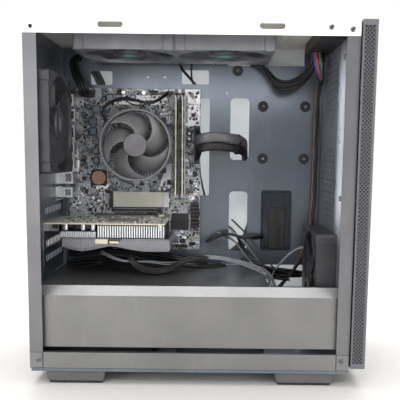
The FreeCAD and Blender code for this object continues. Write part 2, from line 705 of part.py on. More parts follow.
def m2_ssd():
    end = "stick_x + stick_length"
    card = slab(("stick_x", end), (61.4, 62.2), ("stick_z", "stick_z + stick_width"))
    chips = slab(("stick_x + 6", f"{end} - 7"), (59.8, 61.4),
                 ("stick_z + 1", "stick_z + stick_width - 1"))
    socket = slab(("stick_x - 4", "stick_x"), (60, "board_y"),
                  ("stick_z - 0.5", "stick_z + stick_width + 0.5"))
    post = rod((f"{end} - 1", 62.2, "stick_z + stick_width / 2"), 2.6, "board_y - 62.2", "Y")
    named("m2_ssd", fuse([card, chips, socket, post]))


# --------------------------------------------------------------------- cooler

def cooler_heatsink():
    deep = "cooler_base_y - cooler_fin_y"
    core = rod(("cooler_x", "cooler_fin_y", "cooler_z"), 15, deep, "Y")
    fins = []
    for index in range(24):
        fin = slab((0, 44), (0, 1.2), (0, 26))
        for name in "xyz":
            fin.setExpression(f"Placement.Base.{name}", None)
        turn = Rotation(Vector(0, 1, 0), 15 * index) * TURN["Y"]
        lift = Vector(size("cooler_x"), size("cooler_fin_y"), size("cooler_z"))
        fin.Placement = Placement(turn.multVec(Vector(1, -0.6, 0)) + lift, turn)
        fins.append(fin)
    foot = slab(("cooler_x - 20", "cooler_x + 20"), (58.6, "cooler_base_y"),
                ("cooler_z - 20", "cooler_z + 20"))
    named("cooler_heatsink", fuse([core, foot] + fins))


def cooler_shroud():
    deep = "cooler_fin_y - 0.3 - cooler_front_y"
    ring = cut(rod((0, 0, 0), "cooler_ring_radius", deep),
               [rod((0, 0, -1), "cooler_ring_radius - 2.2", f"{deep} + 2")])
    bearing = cut(rod((0, 0, f"{deep} - 4"), 15, 4),
                  [rod((0, 0, f"{deep} - 5"), "bearing_radius", 3.4)])
    struts = []
    for angle in (45, 135, 225, 315):
        strut = slab((0, 33), (0, 4), (0, 2.4))
        for name in "xyz":
            strut.setExpression(f"Placement.Base.{name}", None)
        turn = Rotation(UP, angle)
        height = size("cooler_fin_y") - 0.3 - size("cooler_front_y") - 2.4
        strut.Placement = Placement(turn.multVec(Vector(13.5, -2, 0)) + UP * height, turn)
        struts.append(strut)
    shroud = fuse([ring, bearing] + struts)
    shroud.Placement = Placement(Vector(size("cooler_x"), size("cooler_front_y"),
                                        size("cooler_z")), TURN["Y"])
    named("cooler_shroud", shroud)


# -------------------------------------------------------------- graphics card

def graphics_card():
    near, far = "card_near_y", "card_far_y"
    board = slab(("card_rear_x", "card_front_x"), (near, "card_far_y - 8"),
                 ("card_z", "card_z + card_sheet"))
    tongue = slab((-147.5, -63), ("card_far_y - 8", far), ("card_z + 0.1", "card_z + card_sheet - 0.1"))
    named("gpu_pcb", fuse([board, tongue]))
    fins = [slab((x, x + 1), (-42, 48), ("card_cover_top_z + 2", "card_z - 3"))
            for x in range(-128, -45, 4)]
    base = slab((-130, -45), (-40, 46), ("card_z - 3", "card_z - 0.1"))
    feet_bar = slab((-130, -45), (-42, 48), ("card_cover_top_z + 1", "card_cover_top_z + 2"))
    named("gpu_heatsink", fuse([base, feet_bar] + fins))
    across = ("card_cover_rear_x", "card_cover_front_x")
    deep = ("card_cover_near_y", "card_cover_far_y")
    outer = slab(across, deep, ("card_cover_low_z", "card_cover_top_z"))
    hollow = slab(("card_cover_rear_x + 2", "card_cover_front_x - 2"),
                  ("card_cover_near_y + 2", "card_cover_far_y - 2"),
                  ("card_cover_low_z + 4.4", "card_cover_top_z + 1"))
    bore = rod(("card_fan_x", "card_fan_y", 150), "card_fan_radius + 1.2", 8)
    mouth = cut(outer, [fuse([hollow, bore])])
    hub = cut(rod(("card_fan_x", "card_fan_y", 165.4), 14, 3.3),
              [rod(("card_fan_x", "card_fan_y", 165), "bearing_radius", 2.6)])
    arms = [slab(("card_fan_x + 12", "card_cover_front_x - 1"), (0, 4), (166.7, 168.7)),
            slab(("card_cover_rear_x + 1", "card_fan_x - 12"), (0, 4), (166.7, 168.7))]
    named("gpu_shroud", fuse([mouth, hub] + arms))
    rotor("gpu_fan_rotor", (9.6, 13, 40, 13), (size("card_fan_x"), size("card_fan_y"), 152.6),
          "Z", 9, 35)


GPU_SOCKETS = ((-26, 18), (0, 14), (24, 18))


def gpu_bracket():
    holes = [rectangle(y - wide / 2, 175.9, y + wide / 2, 186.5) for y, wide in GPU_SOCKETS]
    holes += [rectangle(y, 155, y + 3, 164) for y in range(-34, 46, 8)]
    plate = punched(rectangle(-46.5, 151.9, 66, 190.8), holes, 1, (-197.1, 0, 0), "X")
    shells = []
    for y, wide in GPU_SOCKETS:
        shell = slab((-199.3, -180), (y - wide / 2 + 0.3, y + wide / 2 - 0.3), (176.2, "card_z"))
        shells.append(cut(shell, [slab((-200, -187), (y - wide / 2 + 1.4, y + wide / 2 - 1.4),
                                       (177.6, 184.8))]))
    named("gpu_bracket", group([plate] + shells))


# --------------------------------------------------------------- power supply

def power_supply():
    rear, front, half, top = ("wall_x + 0.1", "wall_x + supply_length", "supply_half_width",
                              "supply_top_z")
    fan_x, skin = "supply_fan_x", "supply_sheet"
    case = slab((rear, front), (f"-{half}", half), ("floor_top", top))
    inside = slab((f"{rear} + {skin}", f"{front} - {skin}"), (f"{skin} - {half}", f"{half} - {skin}"),
                  (f"floor_top + {skin}", f"{top} - {skin}"))
    well = rod((fan_x, 0, 16), "supply_fan_radius", 4)
    housings = [slab((rear, "wall_x + 16"), (-56, -27), (48, 70)),
                slab((rear, "wall_x + 11"), (-14, 8), (50, 68))]
    bars = [slab((f"{rear} + 0.5", f"{front} - 0.5"), (-2, 2), (38, 41)),
            slab((f"{fan_x} - 2", f"{fan_x} + 2"), (f"0.5 - {half}", f"{half} - 0.5"), (38, 41))]
    body = fuse([cut(case, [fuse([inside, well])])] + housings + bars)
    inlet = slab(("wall_x - 1", "wall_x + 13"), (-54, -29), (50, 68))
    rocker = slab(("wall_x - 1", "wall_x + 9"), (-12, 6), (52, 66))
    pivot_hole = rod((fan_x, 0, 30), 16, 14)
    shell = cut(body, [inlet, rocker, pivot_hole])
    pins = [slab(("wall_x + 3", "wall_x + 14"), (y - 1, y + 1), (z - 2, z + 2))
            for y, z in ((-48.5, 57), (-41.5, 61), (-34.5, 57))]
    bearing = cut(rod((fan_x, 0, 36), 17, 7), [rod((fan_x, 0, 35), "bearing_radius", 4)])
    named("psu_case", fuse([shell, bearing] + pins))
    board = slab((-190, -62), (f"{skin} - {half}", f"{half} - {skin}"), (97, 98.6))
    parts_below = [slab((-140, -105), (-15, 20), (62, 97)), slab((-178, -75), (-38, -35), (58, 97)),
                   slab((-170, -90), (38, 41), (58, 97)), rod((-78, -20, 60), 11, 37),
                   rod((-78, 8, 60), 9, 37)]
    named("psu_circuit", fuse([board] + parts_below))
    rotor("psu_fan_rotor", (14, 18, 52, 22), (size("supply_fan_x"), 0, 18.5), "Z", 9, 33)
    pivot = rod((-194, -3, 52.3), 3, 13.4)
    paddle = slab((-197.9, -195), (-10.5, 4.5), (52.6, 65.4))
    named("psu_switch", fuse([pivot, paddle]))


# --------------------------------------------------------------- inside wiring

def leads():
    atx_plug = slab((-10.6, -2.6), (42, 54.8), (263.4, 314.6))
    atx = tube([(-6.6, 42, 289), (-6.6, 29, 291), (2, 18, 294), (20, 20, 296), (38, 34, 296),
                (50, 54, 294), (54, 76, 288), (59, 91, 270), (76, 92, 238), (76, 92, 175),
                (56, 92, 135), (10, 92, 112), (-18, 90, 92), (-34, 80, 76), (-40, 62, 64),
                (-40, 40, 57), (-43, 22, 52), (-57.1, 22, 52)], 6, "main power lead")
    named("atx_cable", fuse([atx_plug, atx]))
    cpu_plug = slab((-167.6, -149.4), (44, 54.8), (353.4, 361.6))
    cpu = tube([(-158.5, 44, 357.5), (-158.5, 35, 360), (-155, 31, 370), (-148, 40, 380),
                (-142, 58, 382), (-140, 78, 378), (-139, 90, 360), (-137, 92, 320), (-139, 92.5, 270),
                (-138, 92, 220), (-134, 93, 170), (-118, 92, 130), (-90, 91, 110),
                (-64, 90, 98), (-47, 83, 91), (-38, 69, 87), (-38, 56, 83), (-44, 50, 80),
                (-57.1, 50, 80)], 4, "processor power lead")
    named("cpu_power_cable", fuse([cpu_plug, cpu]))
    cooler = tube([(-62, 28, 330), (-52, 30, 344), (-50, 42, 356), (-58, 51, 362), (-66, 57, 361)],
                  1.2, "cooler fan lead")
    top = tube([(-31, 47, 410), (-31, 49, 400), (-27, 56, 391), (-18, 66, 386), (-9, 78, 382), (-4, 89, 368),
                (-4, 92, 330), (-5, 92.5, 280), (0, 92, 230), (14, 92, 190), (40, 90, 172),
                (50, 80, 165), (53, 66, 158), (60, 50, 146), (72, 38, 134), (87, 31, 126),
                (97, 30, 114), (102, 32, 98)], 1.5, "case fan lead")
    front = tube([(143, 30, 150), (136, 36, 148), (124, 42, 138), (112, 44, 124), (102, 44, 110),
                  (96, 44, 92)], 1.5, "front fan lead")
    card = tube([(-128, -8, 142), (-100, -16, 130), (-64, -18, 124), (-24, -14, 131),
                 (20, -6, 135), (58, 0, 132), (84, 3, 126), (96, 3, 113), (101, 1, 98)], 1.8, "card lead")
    named("fan_leads", group([cooler, top, front, card]))
    bundle = tube([(148, 8, 408.3), (148, 8, 398), (144, 19, 389), (136, 32, 381), (124, 44, 377),
                   (110, 52, 378), (96, 56, 386), (84, 58, 396), (70, 60, 402), (54, 63, 403)], 4.5, "top lead bundle")
    down = tube([(160, 16, 408.3), (160, 16, 399), (160, 28, 388), (161, 44, 372), (161, 55, 345),
                 (162, 60, 300),
                 (160.5, 60.5, 250), (161, 60, 200), (156, 58, 160), (144, 56, 130), (128, 54, 106),
                 (112, 52, 88)], 2.5, "front panel lead bundle")
    named("front_panel_leads", group([bundle, down]))


def build_all():
    for make in (rear_wall, motherboard_tray, bottom_plate, top_plate, front_wall, corner_columns,
                 bottom_rails, top_rails, psu_shroud, feet, slot_covers, tray_grommets, ssd_bracket,
                 drive_cage, screws, standoffs, front_panel, front_panel_mesh, right_side_panel,
                 thumbscrews, top_dust_filter, psu_dust_filter, front_io_ports, power_button,
                 case_fans, motherboard_pcb, io_shield, io_ports, board_sockets, board_components,
                 memory, pcie_slots, pcie_latch, m2_ssd, cooler_heatsink, cooler_shroud,
                 graphics_card, gpu_bracket, power_supply, leads):
        make()
    rotor("cooler_rotor", (17, 15.5, 43, 24), (size("cooler_x"), size("cooler_front_y"),
                                               size("cooler_z")), "Y", 5, 32)


def check_and_write():
    doc.recompute()
    failed = [item.Label for item in doc.Objects
              if "Invalid" in item.State or "Error" in item.State]
    for piece in PARTS:
        if piece.Shape.isNull() or not piece.Shape.isValid():
            failed.append(piece.Label)
    if failed:
        raise RuntimeError("failed: " + ", ".join(failed))
    os.makedirs("parts", exist_ok=True)
    for piece in PARTS:
        piece.Shape.exportStep(os.path.join("parts", piece.Label + ".step"))
    print(len(PARTS), "sub-parts written")


build_all()
check_and_write()
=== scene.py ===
import random
from math import copysign, cos, pi, radians, sin, tau

import bmesh
import bpy
from mathutils import Matrix, Vector


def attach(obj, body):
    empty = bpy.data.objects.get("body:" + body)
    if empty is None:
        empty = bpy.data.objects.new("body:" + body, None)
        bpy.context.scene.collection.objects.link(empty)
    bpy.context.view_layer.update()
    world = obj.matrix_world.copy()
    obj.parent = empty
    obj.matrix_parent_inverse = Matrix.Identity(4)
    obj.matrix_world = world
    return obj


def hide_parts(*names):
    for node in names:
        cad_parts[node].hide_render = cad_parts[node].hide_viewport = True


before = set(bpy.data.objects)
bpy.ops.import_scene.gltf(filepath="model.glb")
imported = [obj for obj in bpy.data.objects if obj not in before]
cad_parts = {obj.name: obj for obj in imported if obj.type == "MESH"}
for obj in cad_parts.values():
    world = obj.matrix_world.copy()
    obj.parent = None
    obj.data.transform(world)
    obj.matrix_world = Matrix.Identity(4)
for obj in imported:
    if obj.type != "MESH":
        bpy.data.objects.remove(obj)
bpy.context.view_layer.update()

# Everything below is in millimetres, in the frame of the CAD model, and is scaled once
# when a piece is made. +X runs to the front panel, -Y is the open side, +Z is up.
MM = 0.001
SCENE = bpy.context.scene


# ------------------------------------------------------------------ materials

def linear(colour):
    """An sRGB colour given from 0 to 255 as the linear colour of a shader."""
    parts = [c / 255 for c in colour]
    return [c / 12.92 if c <= 0.04045 else ((c + 0.055) / 1.055) ** 2.4 for c in parts] + [1]


class Finish:
    """A procedural material that is put together from a few node recipes."""

    def __init__(self, name, metal=0.0, rough=0.5, coat=0.0):
        self.material = bpy.data.materials.new(name)
        self.material.use_nodes = True
        self.tree = self.material.node_tree
        self.shader = self.tree.nodes["Principled BSDF"]
        self.shader.inputs["Metallic"].default_value = metal
        self.shader.inputs["Roughness"].default_value = rough
        self.shader.inputs["Coat Weight"].default_value = coat
        place = self.node("ShaderNodeTexCoord")
        self.place = place.outputs["Object"]

    def node(self, kind, **inputs):
        made = self.tree.nodes.new(kind)
        for key, value in inputs.items():
            made.inputs[key.replace("_", " ")].default_value = value
        return made

    def link(self, output, target):
        self.tree.links.new(output, target)

    def stretched(self, stretch):
        """Object coordinates drawn out along an axis, for brushed or drawn grain."""
        mapping = self.node("ShaderNodeMapping")
        mapping.inputs["Scale"].default_value = stretch
        self.link(self.place, mapping.inputs["Vector"])
        return mapping.outputs["Vector"]

    def noise(self, size, detail=3.0, rough=0.55, stretch=(1, 1, 1)):
        """Noise whose features measure about size millimetres."""
        noise = self.node("ShaderNodeTexNoise", Scale=1 / (size * MM), Detail=detail,
            Roughness=rough)
        self.link(self.stretched(stretch), noise.inputs["Vector"])
        return noise.outputs["Fac"]

    def cells(self, size):
        """Rounded cells that measure about size millimetres."""
        cells = self.node("ShaderNodeTexVoronoi", Scale=1 / (size * MM))
        self.link(self.place, cells.inputs["Vector"])
        return cells.outputs["Distance"]

    def bricks(self, size, base, shift, joint, joint_size, turn):
        """Rows of bricks in two shades with thin joints, turned by degrees about each axis."""
        bricks = self.node("ShaderNodeTexBrick", Scale=1 / (size * MM))
        for key, value in (("Color1", linear(base)), ("Color2", linear([c + shift for c in base])),
                ("Mortar", linear(joint)), ("Mortar Size", joint_size)):
            bricks.inputs[key].default_value = value
        turned = self.node("ShaderNodeMapping")
        turned.inputs["Rotation"].default_value = [radians(angle) for angle in turn]
        self.link(self.place, turned.inputs["Vector"])
        self.link(turned.outputs["Vector"], bricks.inputs["Vector"])
        return bricks

    def ramp(self, value, stops):
        """A value turned into colours or greys by (position, colour) stops."""
        ramp = self.node("ShaderNodeValToRGB")
        elements = ramp.color_ramp.elements
        while len(elements) < len(stops):
            elements.new(0.5)
        for element, (position, colour) in zip(elements, stops):
            element.position = position
            element.color = colour
        self.link(value, ramp.inputs["Fac"])
        return ramp.outputs["Color"]

    def mix(self, factor, first, second, mode="MIX"):
        """Two colours, given or from other nodes, put together."""
        mixed = self.node("ShaderNodeMix")
        mixed.data_type = "RGBA"
        mixed.blend_type = mode
        for index, value in ((0, factor), (6, first), (7, second)):
            if hasattr(value, "is_linked"):
                self.link(value, mixed.inputs[index])
            else:
                mixed.inputs[index].default_value = value
        return mixed.outputs[2]

    def spread(self, value, low, high):
        """A value from 0 to 1 moved to a range."""
        spread = self.node("ShaderNodeMapRange")
        spread.inputs["To Min"].default_value = low
        spread.inputs["To Max"].default_value = high
        self.link(value, spread.inputs["Value"])
        return spread.outputs["Result"]

    def colour(self, output):
        self.link(output, self.shader.inputs["Base Color"])
        return self

    def roughness(self, value, low, high):
        self.link(self.spread(value, low, high), self.shader.inputs["Roughness"])
        return self

    def bump(self, value, depth):
        """Relief of a depth in millimetres."""
        bump = self.node("ShaderNodeBump", Strength=1.0, Distance=depth * MM)
        self.link(value, bump.inputs["Height"])
        self.link(bump.outputs["Normal"], self.shader.inputs["Normal"])
        return self


def tones(base, shift):
    """Two colours a little under and a little over a base colour."""
    under = [max(0, c - shift) for c in base]
    over = [min(255, c + shift) for c in base]
    return linear(under), linear(over)


def powder_coat(name, base, shift=5, rough=0.5, grain=0.5, metal=0.0, depth=0.014, fleck=0.0):
    """Baked paint on sheet steel: fine orange peel, faint clouds and a few handling marks."""
    finish = Finish(name, metal=metal, rough=rough)
    under, over = tones(base, shift)
    clouds = finish.noise(60, 4)
    colour = finish.ramp(clouds, ((0.35, under), (0.65, over)))
    scuffs = finish.ramp(finish.noise(16, 3, 0.55, (1, 1, 0.25)), ((0.6, (0, 0, 0, 1)),
        (0.76, (0.03, 0.03, 0.03, 1))))
    flecks = finish.ramp(finish.noise(0.8, 2, 0.6), ((0.42, (1 - fleck, 1 - fleck, 1 - fleck, 1)),
        (0.62, (1 + fleck, 1 + fleck, 1 + fleck, 1))))
    speckled = finish.mix(1.0, colour, flecks, "MULTIPLY")
    finish.colour(finish.mix(1.0, speckled, scuffs, "ADD"))
    finish.roughness(finish.noise(6), rough - 0.04, rough + 0.05)
    return finish.bump(finish.noise(grain, 2), depth).material


def moulded(name, base, shift=4, rough=0.45, grain=0.25, depth=0.02, coat=0.0):
    """Moulded plastic with a spark-eroded grain and a slightly uneven gloss."""
    finish = Finish(name, rough=rough, coat=coat)
    under, over = tones(base, shift)
    finish.colour(finish.ramp(finish.noise(14, 4), ((0.3, under), (0.7, over))))
    finish.roughness(finish.noise(4), rough - 0.08, rough + 0.1)
    return finish.bump(finish.cells(grain), depth).material


def bare_metal(name, base, rough=0.3, stretch=(1, 1, 1), shift=10, grain=0.5, depth=0.006):
    """Plated or brushed metal, with its grain drawn out along the short factors."""
    finish = Finish(name, metal=1.0, rough=rough)
    under, over = tones(base, shift)
    finish.colour(finish.ramp(finish.noise(grain * 3, 5, 0.6, stretch),
        ((0.3, under), (0.7, over))))
    finish.roughness(finish.noise(grain, 4, 0.6, stretch), rough - 0.1, rough + 0.14)
    return finish.bump(finish.noise(grain, 3, 0.5, stretch), depth).material


def circuit_board(name, base, trace):
    """Solder mask over copper: traces show as lines a shade lighter, with plated vias."""
    finish = Finish(name, rough=0.38, coat=0.15)
    brick = finish.bricks(5.2, base, 7, trace, 0.03, (90, 45, 0))
    brick.offset = 0.37
    vias = finish.ramp(finish.cells(2.6), ((0.2, (1, 1, 1, 1)), (0.25, (0, 0, 0, 1))))
    patches = finish.ramp(finish.noise(11, 2), ((0.52, (0, 0, 0, 1)), (0.55, (1, 1, 1, 1))))
    plain = finish.mix(patches, brick.outputs["Color"], linear([c + 4 for c in base]))
    finish.colour(finish.mix(vias, plain, linear((218, 220, 222))))
    finish.roughness(finish.noise(5), 0.3, 0.5)
    return finish.bump(brick.outputs["Fac"], 0.03).material


def woven(name, base, size=1.1, rough=0.6):
    """A braided or ribbed sleeve."""
    finish = Finish(name, rough=rough)
    under, over = tones(base, 9)
    weave = finish.cells(size)
    finish.colour(finish.ramp(weave, ((0.2, over), (0.6, under))))
    finish.roughness(finish.noise(3, 2), rough - 0.1, rough + 0.1)
    return finish.bump(weave, 0.12).material


def printed_label(name, base, print_colour):
    """A matt label with a few plain printed bars and no lettering."""
    finish = Finish(name, rough=0.42)
    bars = finish.bricks(7, base, 9, print_colour, 0.012, (90, 0, 0))
    finish.colour(finish.mix(0.35, bars.outputs["Color"], linear(base)))
    finish.roughness(finish.noise(6), 0.34, 0.5)
    return finish.bump(finish.noise(0.8), 0.01).material


MATERIALS = {
    "column": powder_coat("column_coat", (122, 121, 124), 3, 0.36, metal=0.85),
    "inner": powder_coat("inner_coat", (118, 125, 134), 5, 0.3, metal=0.85, depth=0.008),
    # A darker copy of the tray paint for the drive bracket: painted shade on the same paint.
    "inner_painted_shade": powder_coat("inner_painted_shade_coat", (60, 65, 72), 5, 0.3, metal=0.8),
    "cover": powder_coat("cover_coat", (134, 134, 134), 4, 0.32, metal=0.85),
    "wall": powder_coat("wall_coat", (88, 91, 96), 4, 0.45, metal=0.1),
    # Light beige for the top plate: painted light, standing in for light through the roof vents
    # and bounced onto its underside.
    "roof": powder_coat("roof_painted_light_coat", (198, 194, 186)),
    # Near-white paint for the top rails: a painted highlight; the rails are the case's dark satin
    # steel, lit bright.
    "rail_painted_highlight_white": powder_coat("rail_painted_highlight_white", (238, 238, 238), 3, 0.45),
    "print_white": moulded("print_white", (248, 249, 255), 4, 0.4, grain=0.15),
    "slot_grey": moulded("slot_plastic", (164, 164, 170), 8, 0.36),
    # Pale paint for the far side panel and the far roof flange: painted light, standing in for the
    # bright backdrop and light seen there.
    "pale_painted_light_coat": powder_coat("pale_painted_light_coat", (206, 210, 212), 3),
    "black_coat": powder_coat("black_coat", (34, 34, 36), 4),
    # Lighter grey plastic for the top fans' housings and pads: painted light on the fans' own dark
    # plastic.
    "housing": moulded("housing_plastic", (92, 93, 97), 5, 0.36),
    "card_shell": moulded("card_shell_plastic", (114, 114, 119), 5, 0.34),
    "sleeve_light": woven("braided_sleeve_light", (84, 84, 87), rough=0.42),
    "mesh_grey": powder_coat("mesh_coat", (84, 83, 86), 4, 0.4, metal=0.4),
    "tin": powder_coat("tin_plate", (226, 227, 230), 8, 0.32, metal=0.35, fleck=0.1),
    "panel": moulded("panel_plastic", (92, 95, 100), 4, 0.4),
    "foot": moulded("foot_plastic", (84, 82, 84), 5, 0.55, grain=0.5),
    "rubber": moulded("rubber", (30, 31, 33), 4, 0.62, grain=0.4),
    "black": moulded("black_plastic", (34, 33, 35), 5, 0.42),
    "dark": moulded("dark_plastic", (48, 47, 50), 6, 0.4),
    "wheel": moulded("wheel_plastic", (56, 57, 61), 5, 0.36),
    "grey": moulded("grey_plastic", (96, 96, 98), 6, 0.42),
    "light_grey": moulded("light_grey_plastic", (90, 88, 91), 6, 0.35, coat=0.2),
    "cream": moulded("cream_plastic", (196, 186, 160), 7, 0.5),
    "chip": moulded("chip_epoxy", (30, 30, 33), 4, 0.5, grain=0.15),
    "ceramic": moulded("ceramic", (158, 148, 130), 10, 0.5, grain=0.2),
    "steel": bare_metal("zinc_steel", (176, 176, 178), 0.32),
    "screw": bare_metal("screw_steel", (120, 120, 124)),
    "silver": bare_metal("silver_can", (208, 206, 204), 0.24, (1, 1, 0.1)),
    "fin": bare_metal("fin_aluminium", (190, 192, 196), 0.34, (1, 1, 0.06)),
    # Dark metal for the core behind the graphics card fins: painted shade of the deep gaps between
    # fins.
    "fin_core_painted_shade": bare_metal("fin_core_painted_shade", (72, 74, 78), 0.38, (1, 0.1, 1)),
    "gold": bare_metal("gold_plating", (214, 178, 104), 0.28),
    "brass": bare_metal("brass", (196, 160, 92), 0.35),
    "copper": bare_metal("copper", (168, 134, 116), 0.4),
    "board": circuit_board("board_mask", (72, 76, 84), (226, 232, 240)),
    # The card's pale mask is partly its own colour and partly painted light, raised to make up for
    # light the roof fans block.
    "card_board": circuit_board("card_mask_partly_painted_light", (176, 174, 168), (232, 228, 214)),
    "label": printed_label("stick_label", (176, 176, 164), (206, 204, 184)),
    "grey_label": printed_label("grey_label", (190, 190, 192), (150, 150, 152)),
    "sleeve": woven("braided_sleeve", (17, 17, 19)),
    "wire": moulded("wire_skin", (17, 17, 19), 4, 0.34, grain=0.6),
    "wire_grey": moulded("wire_skin_grey", (116, 118, 122), 6, 0.4, grain=0.6),
    "wire_red": moulded("wire_skin_red", (176, 66, 70), 8, 0.4, grain=0.6),
    "wire_purple": moulded("wire_skin_purple", (96, 72, 130), 8, 0.4, grain=0.6),
    "wire_green": moulded("wire_skin_green", (74, 118, 100), 8, 0.4, grain=0.6),
    "wire_brown": moulded("wire_skin_brown", (96, 72, 56), 8, 0.4, grain=0.6),
    "solder": powder_coat("solder", (222, 222, 220), 10, 0.3, metal=0.4),
    "teal": moulded("teal_plastic", (30, 150, 128), 6, 0.35, coat=0.3),
    "net": moulded("filter_net", (30, 30, 32), 4, 0.6),
}


# ----------------------------------------------------------------- mesh tools

TURN = {"X": Matrix(((0, 0, 1), (1, 0, 0), (0, 1, 0))),
    "-X": Matrix(((0, 0, -1), (-1, 0, 0), (0, 1, 0))),
    "Y": Matrix(((0, 1, 0), (0, 0, 1), (1, 0, 0))),
    "-Y": Matrix(((1, 0, 0), (0, 0, -1), (0, 1, 0))),
    "Z": Matrix.Identity(3)}


def circle(x, y, radius, sides):
    """Points round a circle."""
    return [(x + radius * cos(tau * i / sides), y + radius * sin(tau * i / sides))
        for i in range(sides)]


def rounded(left, low, right, high, radius):
    """The outline of a rectangle with round corners."""
    points, steps = [], 4
    for x, y, start in ((right - radius, low + radius, -90), (right - radius, high - radius, 0),
            (left + radius, high - radius, 90), (left + radius, low + radius, 180)):
        for step in range(steps + 1):
            angle = radians(start + 90 * step / steps)
            points.append((x + radius * cos(angle), y + radius * sin(angle)))
    return points


START_SIDE = Vector((0.31, 0.52, 0.79))


def heading(path, index):
    """The direction in which a path runs at one of its points."""
    return (path[min(index + 1, len(path) - 1)] - path[max(index - 1, 0)]).normalized()


class Form:
    """A mesh under construction, made about its own axis and then put in place."""

    def __init__(self, centre=(0, 0, 0), axis="Z"):
        self.bm = bmesh.new()
        self.turn = TURN[axis]
        self.centre = Vector(centre)

    def point(self, p):
        """A corner of the mesh, given in the form's own axes."""
        return self.bm.verts.new(self.turn @ Vector(p) + self.centre)

    def mesh(self, name):
        """The finished form as mesh data in metres, facing outwards."""
        bmesh.ops.recalc_face_normals(self.bm, faces=self.bm.faces[:])
        mesh = bpy.data.meshes.new(name)
        self.bm.to_mesh(mesh)
        self.bm.free()
        mesh.transform(Matrix.Scale(MM, 4))
        return mesh

    def loft(self, loops, closed=False):
        """Skins loops of equally many points, and closes the ends or joins them."""
        rings = [[self.point(p) for p in loop] for loop in loops]
        following = rings[1:] + rings[:1] if closed else rings[1:]
        for low, high in zip(rings, following):
            for i in range(len(low)):
                j = (i + 1) % len(low)
                self.bm.faces.new((low[i], low[j], high[j], high[i]))
        if not closed:
            self.bm.faces.new(rings[0][::-1])
            self.bm.faces.new(rings[-1])
        return self

    def prism(self, outline, low, high, chamfer=0.0):
        """An outline pushed from low to high along the local z axis."""
        if chamfer <= 0:
            return self.loft([[(x, y, z) for x, y in outline] for z in (low, high)])
        middle = Vector((sum(p[0] for p in outline), sum(p[1] for p in outline))) / len(outline)
        inner = []
        for x, y in outline:
            toward = (middle - Vector((x, y)))
            inner.append(Vector((x, y)) + Vector((copysign(min(chamfer, abs(toward.x)), toward.x),
                copysign(min(chamfer, abs(toward.y)), toward.y))))
        return self.loft([[(x, y, z) for x, y in ring] for ring, z in ((inner, low),
            (outline, low + chamfer), (outline, high - chamfer), (inner, high))])

    def block(self, x, y, z, chamfer=0.3):
        """A box between two values on each axis, with chamfered edges and corners."""
        ends = (x, y, z)
        chamfer = min([chamfer] + [(high - low) * 0.45 for low, high in ends])
        made = {}
        for signs in [(a, b, c) for a in (0, 1) for b in (0, 1) for c in (0, 1)]:
            for full in range(3):
                at = [ends[i][signs[i]] + (0 if i == full else (chamfer, -chamfer)[signs[i]])
                    for i in range(3)]
                made[signs, full] = self.point(at)
            self.bm.faces.new([made[signs, full] for full in range(3)])
        for full in range(3):
            b, c = [i for i in range(3) if i != full]
            for side in (0, 1):
                ring = []
                for second, third in ((0, 0), (1, 0), (1, 1), (0, 1)):
                    signs = [0, 0, 0]
                    signs[full], signs[b], signs[c] = side, second, third
                    ring.append(made[tuple(signs), full])
                self.bm.faces.new(ring)
            for second in (0, 1):
                for third in (0, 1):
                    signs = [[0, 0, 0], [0, 0, 0]]
                    for end in (0, 1):
                        signs[end][full], signs[end][b], signs[end][c] = end, second, third
                    self.bm.faces.new([made[tuple(signs[0]), b], made[tuple(signs[1]), b],
                        made[tuple(signs[1]), c], made[tuple(signs[0]), c]])
        return self

    def lathe(self, profile, x=0.0, y=0.0, sides=32, closed=False):
        """A profile of (radius, height) points turned round the local z axis."""
        loops = [[(px, py, z) for px, py in circle(x, y, radius, sides)] for radius, z in profile]
        return self.loft(loops, closed)

    def pad(self, x, y, half_x, half_y, z, chamfer=0.3):
        """A block about a middle."""
        return self.block((x - half_x, x + half_x), (y - half_y, y + half_y), z, chamfer)

    def frame(self, edges, radius, levels, closed=False, ease=0.0):
        """A rectangle with round corners, drawn in by an inset at each (height, inset) level."""
        left, low, right, high = edges
        return self.loft([[(x, y, z) for x, y in rounded(left + d, low + d, right - d, high - d,
            radius - ease * d)] for z, d in levels], closed)

    def spoke(self, stations, section):
        """A bar away from the axis: (radius, angle, half width) stations of one section."""
        loops = []
        for radius, angle, half in stations:
            c, s = cos(angle), sin(angle)
            loops.append([(radius * c - s * u * half, radius * s + c * u * half, z)
                for u, z in section])
        return self.loft(loops)

    def wire(self, path, radius, sides=8):
        """A round tube along a smooth path, with its twist kept small."""
        path = [Vector(p) for p in path]
        side = START_SIDE
        loops = []
        for index, p in enumerate(path):
            ahead = heading(path, index)
            side = (side - ahead * side.dot(ahead)).normalized()
            other = ahead.cross(side)
            loops.append([p + side * radius * cos(tau * i / sides) + other * radius
                * sin(tau * i / sides) for i in range(sides)])
        return self.loft(loops)

    def net(self, left, low, right, high, pitch, radius, base, top, row=0.87):
        """A sheet with staggered rows of holes between two heights."""
        rows = max(1, round((high - low) / (pitch * row)))
        columns = max(1, round((right - left) / pitch))
        wide, tall = (right - left) / columns, (high - low) / rows
        known, faces = {}, []

        def face(points):
            corners = []
            for x, y in points:
                key = (round(x, 3), round(y, 3))
                if key not in known:
                    known[key] = self.point((x, y, base))
                corners.append(known[key])
            faces.append(self.bm.faces.new(corners))

